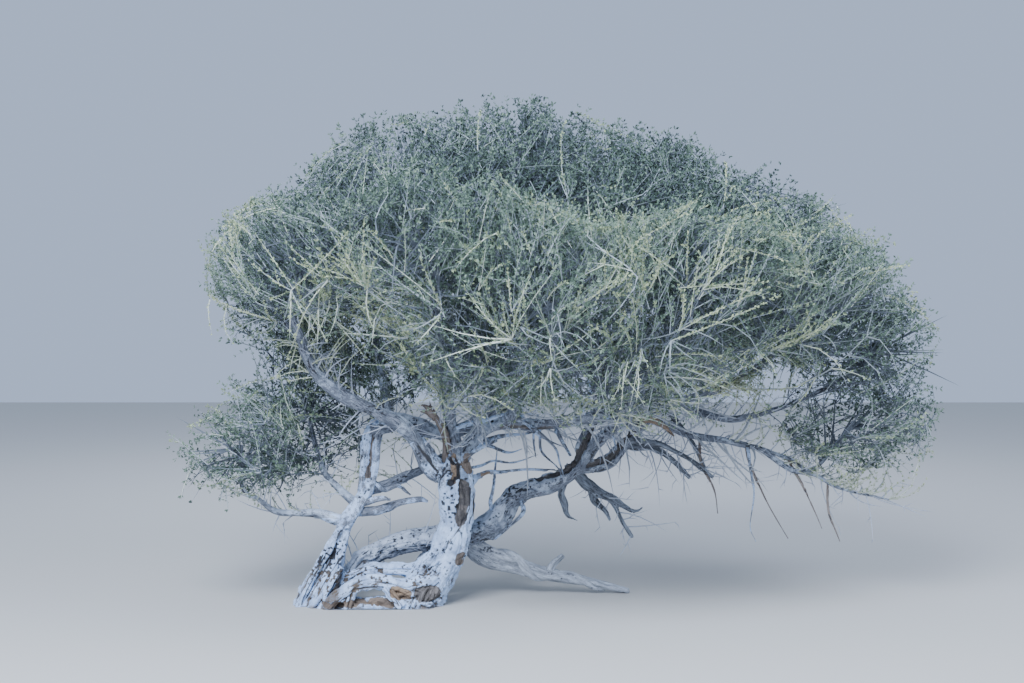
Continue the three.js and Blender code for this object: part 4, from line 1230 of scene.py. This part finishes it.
def branchOff(parents, rule):
    each = rule["perParent"]
    which = np.repeat(np.arange(len(parents["length"])), each)
    share = rule["from"] + (1 - rule["from"]) * random.random(len(which))
    start = placeOn(parents, which, share)
    along = wayOn(parents, which, share)
    way = unit(along * rule["onward"] + asideOf(along, len(which)) * rule["aside"])
    length = random.uniform(rule["shortest"], rule["longest"], len(which))
    bow = random.normal(size=way.shape) * rule["bow"]
    tips = start + way * length[:, None]
    kept = tips[:, 2] > growth["aboveGround"]
    if rule["inCrown"]:
        kept &= depthIn(tips) > growth["outermost"]
    return arcsOf(start[kept], way[kept], bow[kept], length[kept], parents["mass"][which][kept],
                  rule["radii"], parents["sparse"][which][kept])


def boughStretches(names, apart, last=1.0):
    # boughs as short straight stretches that twigs can start from
    starts, ways, lengths = [], [], []
    for name in names:
        strand = tapered(boughs[name])
        length = alongCurve(strand, [0, 1])[2]
        places = alongCurve(strand, np.linspace(0.15, last, int(length / apart) + 2))[0]
        starts.append(places[:-1])
        ways.append(unit(np.diff(places, axis=0)))
        lengths.append(np.linalg.norm(np.diff(places, axis=0), axis=1))
    starts, ways, lengths = np.concatenate(starts), np.concatenate(ways), np.concatenate(lengths)
    return arcsOf(starts, ways, np.zeros_like(ways), lengths, np.zeros(len(starts), int), (1.0, 1.0))


def together(*groups):
    return {key: np.concatenate([group[key] for group in groups]) for key in groups[0]}


def some(arcs, chosen):
    return {key: values[chosen] for key, values in arcs.items()}


def twigMesh(arcs, rings, sides=3):
    # twigs that run out to a point, as vertices and triangles
    count = len(arcs["length"])
    shares = np.linspace(0, 1, rings + 1)
    everyArc = np.arange(count)
    corners = []
    for share in shares[:-1]:
        shareOfAll = np.full(count, share)
        centre = placeOn(arcs, everyArc, shareOfAll)
        along = wayOn(arcs, everyArc, shareOfAll)
        side = unit(np.cross(along, [0.23, 0.41, 0.88]))
        front = np.cross(along, side)
        radius = (arcs["radii"][:, 0] + (arcs["radii"][:, 1] - arcs["radii"][:, 0]) * share)[:, None]
        for corner in range(sides):
            angle = corner * math.tau / sides
            corners.append(centre + radius * (side * math.cos(angle) + front * math.sin(angle)))
    corners.append(placeOn(arcs, everyArc, np.ones(count)))
    faces = [(0, corner + 1, corner) for corner in range(1, sides - 1)]
    for k in range(rings - 1):
        for corner in range(sides):
            a, b = sides * k + corner, sides * k + (corner + 1) % sides
            faces += [(a, b, b + sides), (a, b + sides, a + sides)]
    last = sides * (rings - 1)
    faces += [(last + corner, last + (corner + 1) % sides, last + sides) for corner in range(sides)]
    perArc = len(corners)
    vertices = np.stack(corners, axis=1).reshape(-1, 3)
    triangles = (np.array(faces)[None] + (everyArc * perArc)[:, None, None]).reshape(-1, 3)
    return vertices, triangles


def twigsWithTwiglets(twigs, twiglets, rings, sides=3):
    vertices, triangles = twigMesh(twigs, rings[0], sides)
    finer, more = twigMesh(twiglets, rings[1])
    return np.vstack([vertices, finer]), np.vstack([triangles, more + len(vertices)])


def leafMesh(arcs, rule):
    # tufts of small leaves along the arcs; each leaf is two faces folded along its middle
    tufts = arcs["length"] * (1 - rule["from"]) / (rule["spacing"] * arcs["gapping"])
    tufts = np.maximum(1, tufts.astype(int))
    which = np.repeat(np.arange(len(tufts)), tufts)
    order = np.arange(len(which)) - np.repeat(np.cumsum(tufts) - tufts, tufts)
    share = rule["from"] + (1 - rule["from"]) * (order + random.random(len(which))) / tufts[which]
    which = np.repeat(which, rule["perTuft"])
    jitter = random.uniform(-rule["jitter"], rule["jitter"], len(which))
    share = np.minimum(np.repeat(share, rule["perTuft"]) + jitter, 1)
    along = wayOn(arcs, which, share)
    aside = asideOf(along, len(which))
    loose = random.normal(size=along.shape) * rule["scatter"]
    way = unit(along * arcs["forward"][which][:, None] + aside + up * rule["lift"] + loose)
    side = unit(np.cross(way, random.normal(size=along.shape)))
    face = np.cross(side, way)
    base = placeOn(arcs, which, share)
    length = (rule["length"] * arcs["leafSize"][which] * random.uniform(*rule["sizes"], len(which)))[:, None]
    half = length * rule["width"] / rule["length"] / 2
    waist = base + way * length * rule["waist"] + face * half * rule["fold"] * 2
    corners = np.stack([base, waist + side * half, base + way * length, waist - side * half], axis=1)
    first = np.arange(len(which))[:, None, None] * 4
    triangles = (np.array([(0, 1, 2), (0, 2, 3)])[None] + first).reshape(-1, 3)
    return corners.reshape(-1, 3), triangles


def meshPiece(name, vertices, triangles, material, slot, nodes=(), limit=190000):
    # a joined mesh from arrays, in pieces of fewer faces than the limit
    parts = math.ceil(len(triangles) / limit)
    perPart = math.ceil(len(triangles) / parts / 2) * 2
    for part in range(parts):
        chosen = triangles[part * perPart:(part + 1) * perPart]
        used, renumbered = np.unique(chosen, return_inverse=True)
        mesh = bpy.data.meshes.new(name + (str(part + 1) if parts > 1 else ""))
        mesh.from_pydata((vertices[used] / metre).tolist(), [], renumbered.reshape(-1, 3).tolist())
        thing = bpy.data.objects.new(mesh.name, mesh)
        bpy.context.scene.collection.objects.link(thing)
        tieToFrame(thing, material, nodes)


def plainMaterial(name, colour, rough, mottle):
    # one base colour, lightly mottled
    material, tree, shader = newMaterial(name)
    place = addNode(tree, "ShaderNodeTexCoord").outputs["Object"]
    noise = addNode(tree, "ShaderNodeTexNoise", {"Vector": place, "Scale": 60.0, "Detail": 2.0})
    amount = addNode(tree, "ShaderNodeMapRange", {"Value": noise.outputs["Fac"], "To Min": 1 - mottle,
                                                  "To Max": 1 + mottle}).outputs["Result"]
    tint = addNode(tree, "ShaderNodeHueSaturation", {"Color": linear(colour), "Value": amount})
    tree.links.new(tint.outputs[0], shader.inputs["Base Color"])
    shader.inputs["Roughness"].default_value = rough
    shader.inputs["IOR"].default_value = 1.45
    return material


# Small leathery leaves with a matt, waxy bloom. Outer shoots are young and yellowish and painted lighter as
# painted light, and further in they are painted dark and bluish as painted shade.
# For each tone: colour, how far apart the tufts are, how large the leaves are, and how close they lie
# along the shoot
leafToneEdges = [0.07, 0.2, 0.36, 0.6]  # depths in the crown where one tone gives way to the next
leafTones = {
    "Tips": (0xACB68D, 0.75, 0.9, 1.7), "Light": (0x96A480, 0.82, 0.95, 1.35),
    "Middle": (0x7B8E78, 1.0, 1.03, 1.0), "Dark": (0x627563, 1.15, 1.1, 0.8),
    "Shade": (0x45554B, 1.45, 1.3, 0.75),
}
# Young shoots are pale and dry, older twigs grey, and those inside the crown are painted darker as painted
# shade
twigToneEdges = [0.2, 0.5]
twigTones = {"Pale": 0xC6CBBA, "Grey": 0x9AA1A4, "Dark": 0x636A73}
# How the tone is read: where on the shoot, how much shade and chance count, and patches of a tone
toneRule = {"at": 0.7, "shade": 0.6, "chance": 0.1, "patch": 420, "patchDepth": 0.14}
# How rough each kind is, and how mottled
finishes = {"leaf": (0.6, 0.18), "shoot": (0.8, 0.2), "dead": (0.85, 0.3)}
# What dead twigs and sticks share: first the ones on the boughs, then the finer ones on those
deadRule = {"perParent": 1, "from": 0.0, "aside": 0.9, "inCrown": False}
finerDeadRule = {"perParent": 2, "aside": 0.8, "bow": 0.2, "inCrown": False}
# Dead twigs on all boughs, and how far apart they are
deadTwigs = {
    "apart": 52, "colour": 0xB4BAC6,
    "first": {**deadRule, "onward": 0.5, "shortest": 80, "longest": 330, "radii": (6.0, 2.2), "bow": 0.25},
    "finer": {**finerDeadRule, "from": 0.2, "onward": 0.6, "shortest": 35, "longest": 150,
              "radii": (3.2, 1.6)},
}
# Dry sticks, longer and thicker, on the first stretch of the boughs that show under the crown
drySticks = {
    "on": ["crossing_bough", "near_bough", "low_middle_bough", "near_right_bough", "right_bough", "top_bough",
           "low_right_bough", "low_front_left_bough"],
    "apart": 115, "last": 0.75, "colour": 0xB2B7BF,
    "first": {**deadRule, "onward": 0.6, "shortest": 160, "longest": 500, "radii": (9.5, 3.6), "bow": 0.3},
    "finer": {**finerDeadRule, "from": 0.25, "onward": 0.7, "shortest": 60, "longest": 220,
              "radii": (4.0, 1.8)},
}

random = np.random.default_rng(7)


def toneOf(arcs, edges):
    # 0 for shoots at the outside of the crown, higher further in, on shaded masses and high up, so that the
    # tones paint light and shade
    rule = toneRule
    which = np.arange(len(arcs["length"]))
    middle = placeOn(arcs, which, np.full(len(which), rule["at"]))
    depth = depthIn(middle) + shades[arcs["mass"]] * rule["shade"]
    depth = depth + random.normal(size=len(which)) * rule["chance"]
    depth = depth + (arcs["sparse"] > 1) * growth["shadeUnder"]
    (low, high), duller = growth["paintedShadeOnTop"]
    patches = softNoise(middle / rule["patch"], 21) * rule["patchDepth"]
    depth = depth + patches + duller * ramp(middle[:, 2], low, high)
    return np.searchsorted(edges, depth)


def buildFoliage():
    twigs = growTwigs()
    sideTwigs = growTo(twigs, sideTwigRule)
    limbs = together(twigs, sideTwigs)
    wands = together(growTo(limbs, wandRule), growTo(limbs, strayRule), growTo(sideTwigs, innerRule),
                     growTo(together(boughStretches(boughs, 33), limbs), tangleRule))
    twiglets = branchOff(wands, twigletRule)
    for name, arcs in {"twigs": twigs, "side twigs": sideTwigs, "wands": wands, "twiglets": twiglets}.items():
        print(len(arcs["length"]), name)
    leafy = together(wands, twiglets)
    tones = toneOf(leafy, leafToneEdges)
    for k, key in ((1, "gapping"), (2, "leafSize"), (3, "forward")):
        leafy[key] = np.array([tone[k] for tone in leafTones.values()])[tones]
    leafy["gapping"] = leafy["gapping"] * leafy["sparse"]
    for tone, (name, look) in enumerate(leafTones.items()):
        vertices, triangles = leafMesh(some(leafy, tones == tone), leafRule)
        material = plainMaterial("waxyLeaf" + name, look[0], *finishes["leaf"])
        meshPiece("leaves" + name, vertices, triangles, material, "foliage", massNames)
    woody = together(twigs, sideTwigs, wands, twiglets)
    isTwig = np.arange(len(woody["length"])) < len(twigs["length"]) + len(sideTwigs["length"])
    isTwiglet = np.arange(len(woody["length"])) >= len(woody["length"]) - len(twiglets["length"])
    tones = np.clip(toneOf(woody, twigToneEdges) + isTwig, 0, len(twigToneEdges))
    for tone, (name, colour) in enumerate(twigTones.items()):
        mesh = twigsWithTwiglets(some(woody, (tones == tone) & ~isTwiglet),
                                 some(woody, (tones == tone) & isTwiglet), (3, 1))
        material = plainMaterial("dryShoot" + name, colour, *finishes["shoot"])
        meshPiece("twigs" + name, *mesh, material, "foliage", massNames)


def buildDeadTwigs():
    for name, rule, stretches, sides in (
        ("deadTwigs", deadTwigs, boughStretches(boughs, deadTwigs["apart"]), 3),
        ("drySticks", drySticks, boughStretches(drySticks["on"], drySticks["apart"], drySticks["last"]), 5),
    ):
        first = branchOff(stretches, rule["first"])
        finer = branchOff(first, rule["finer"])
        title = name[0].upper() + name[1:]
        material = plainMaterial("bleached" + title, rule["colour"], *finishes["dead"])
        meshPiece(name, *twigsWithTwiglets(first, finer, (4, 2), sides), material, "dead_wood")


buildFoliage()
print("foliage ready")
buildDeadTwigs()
print("dead twigs ready")
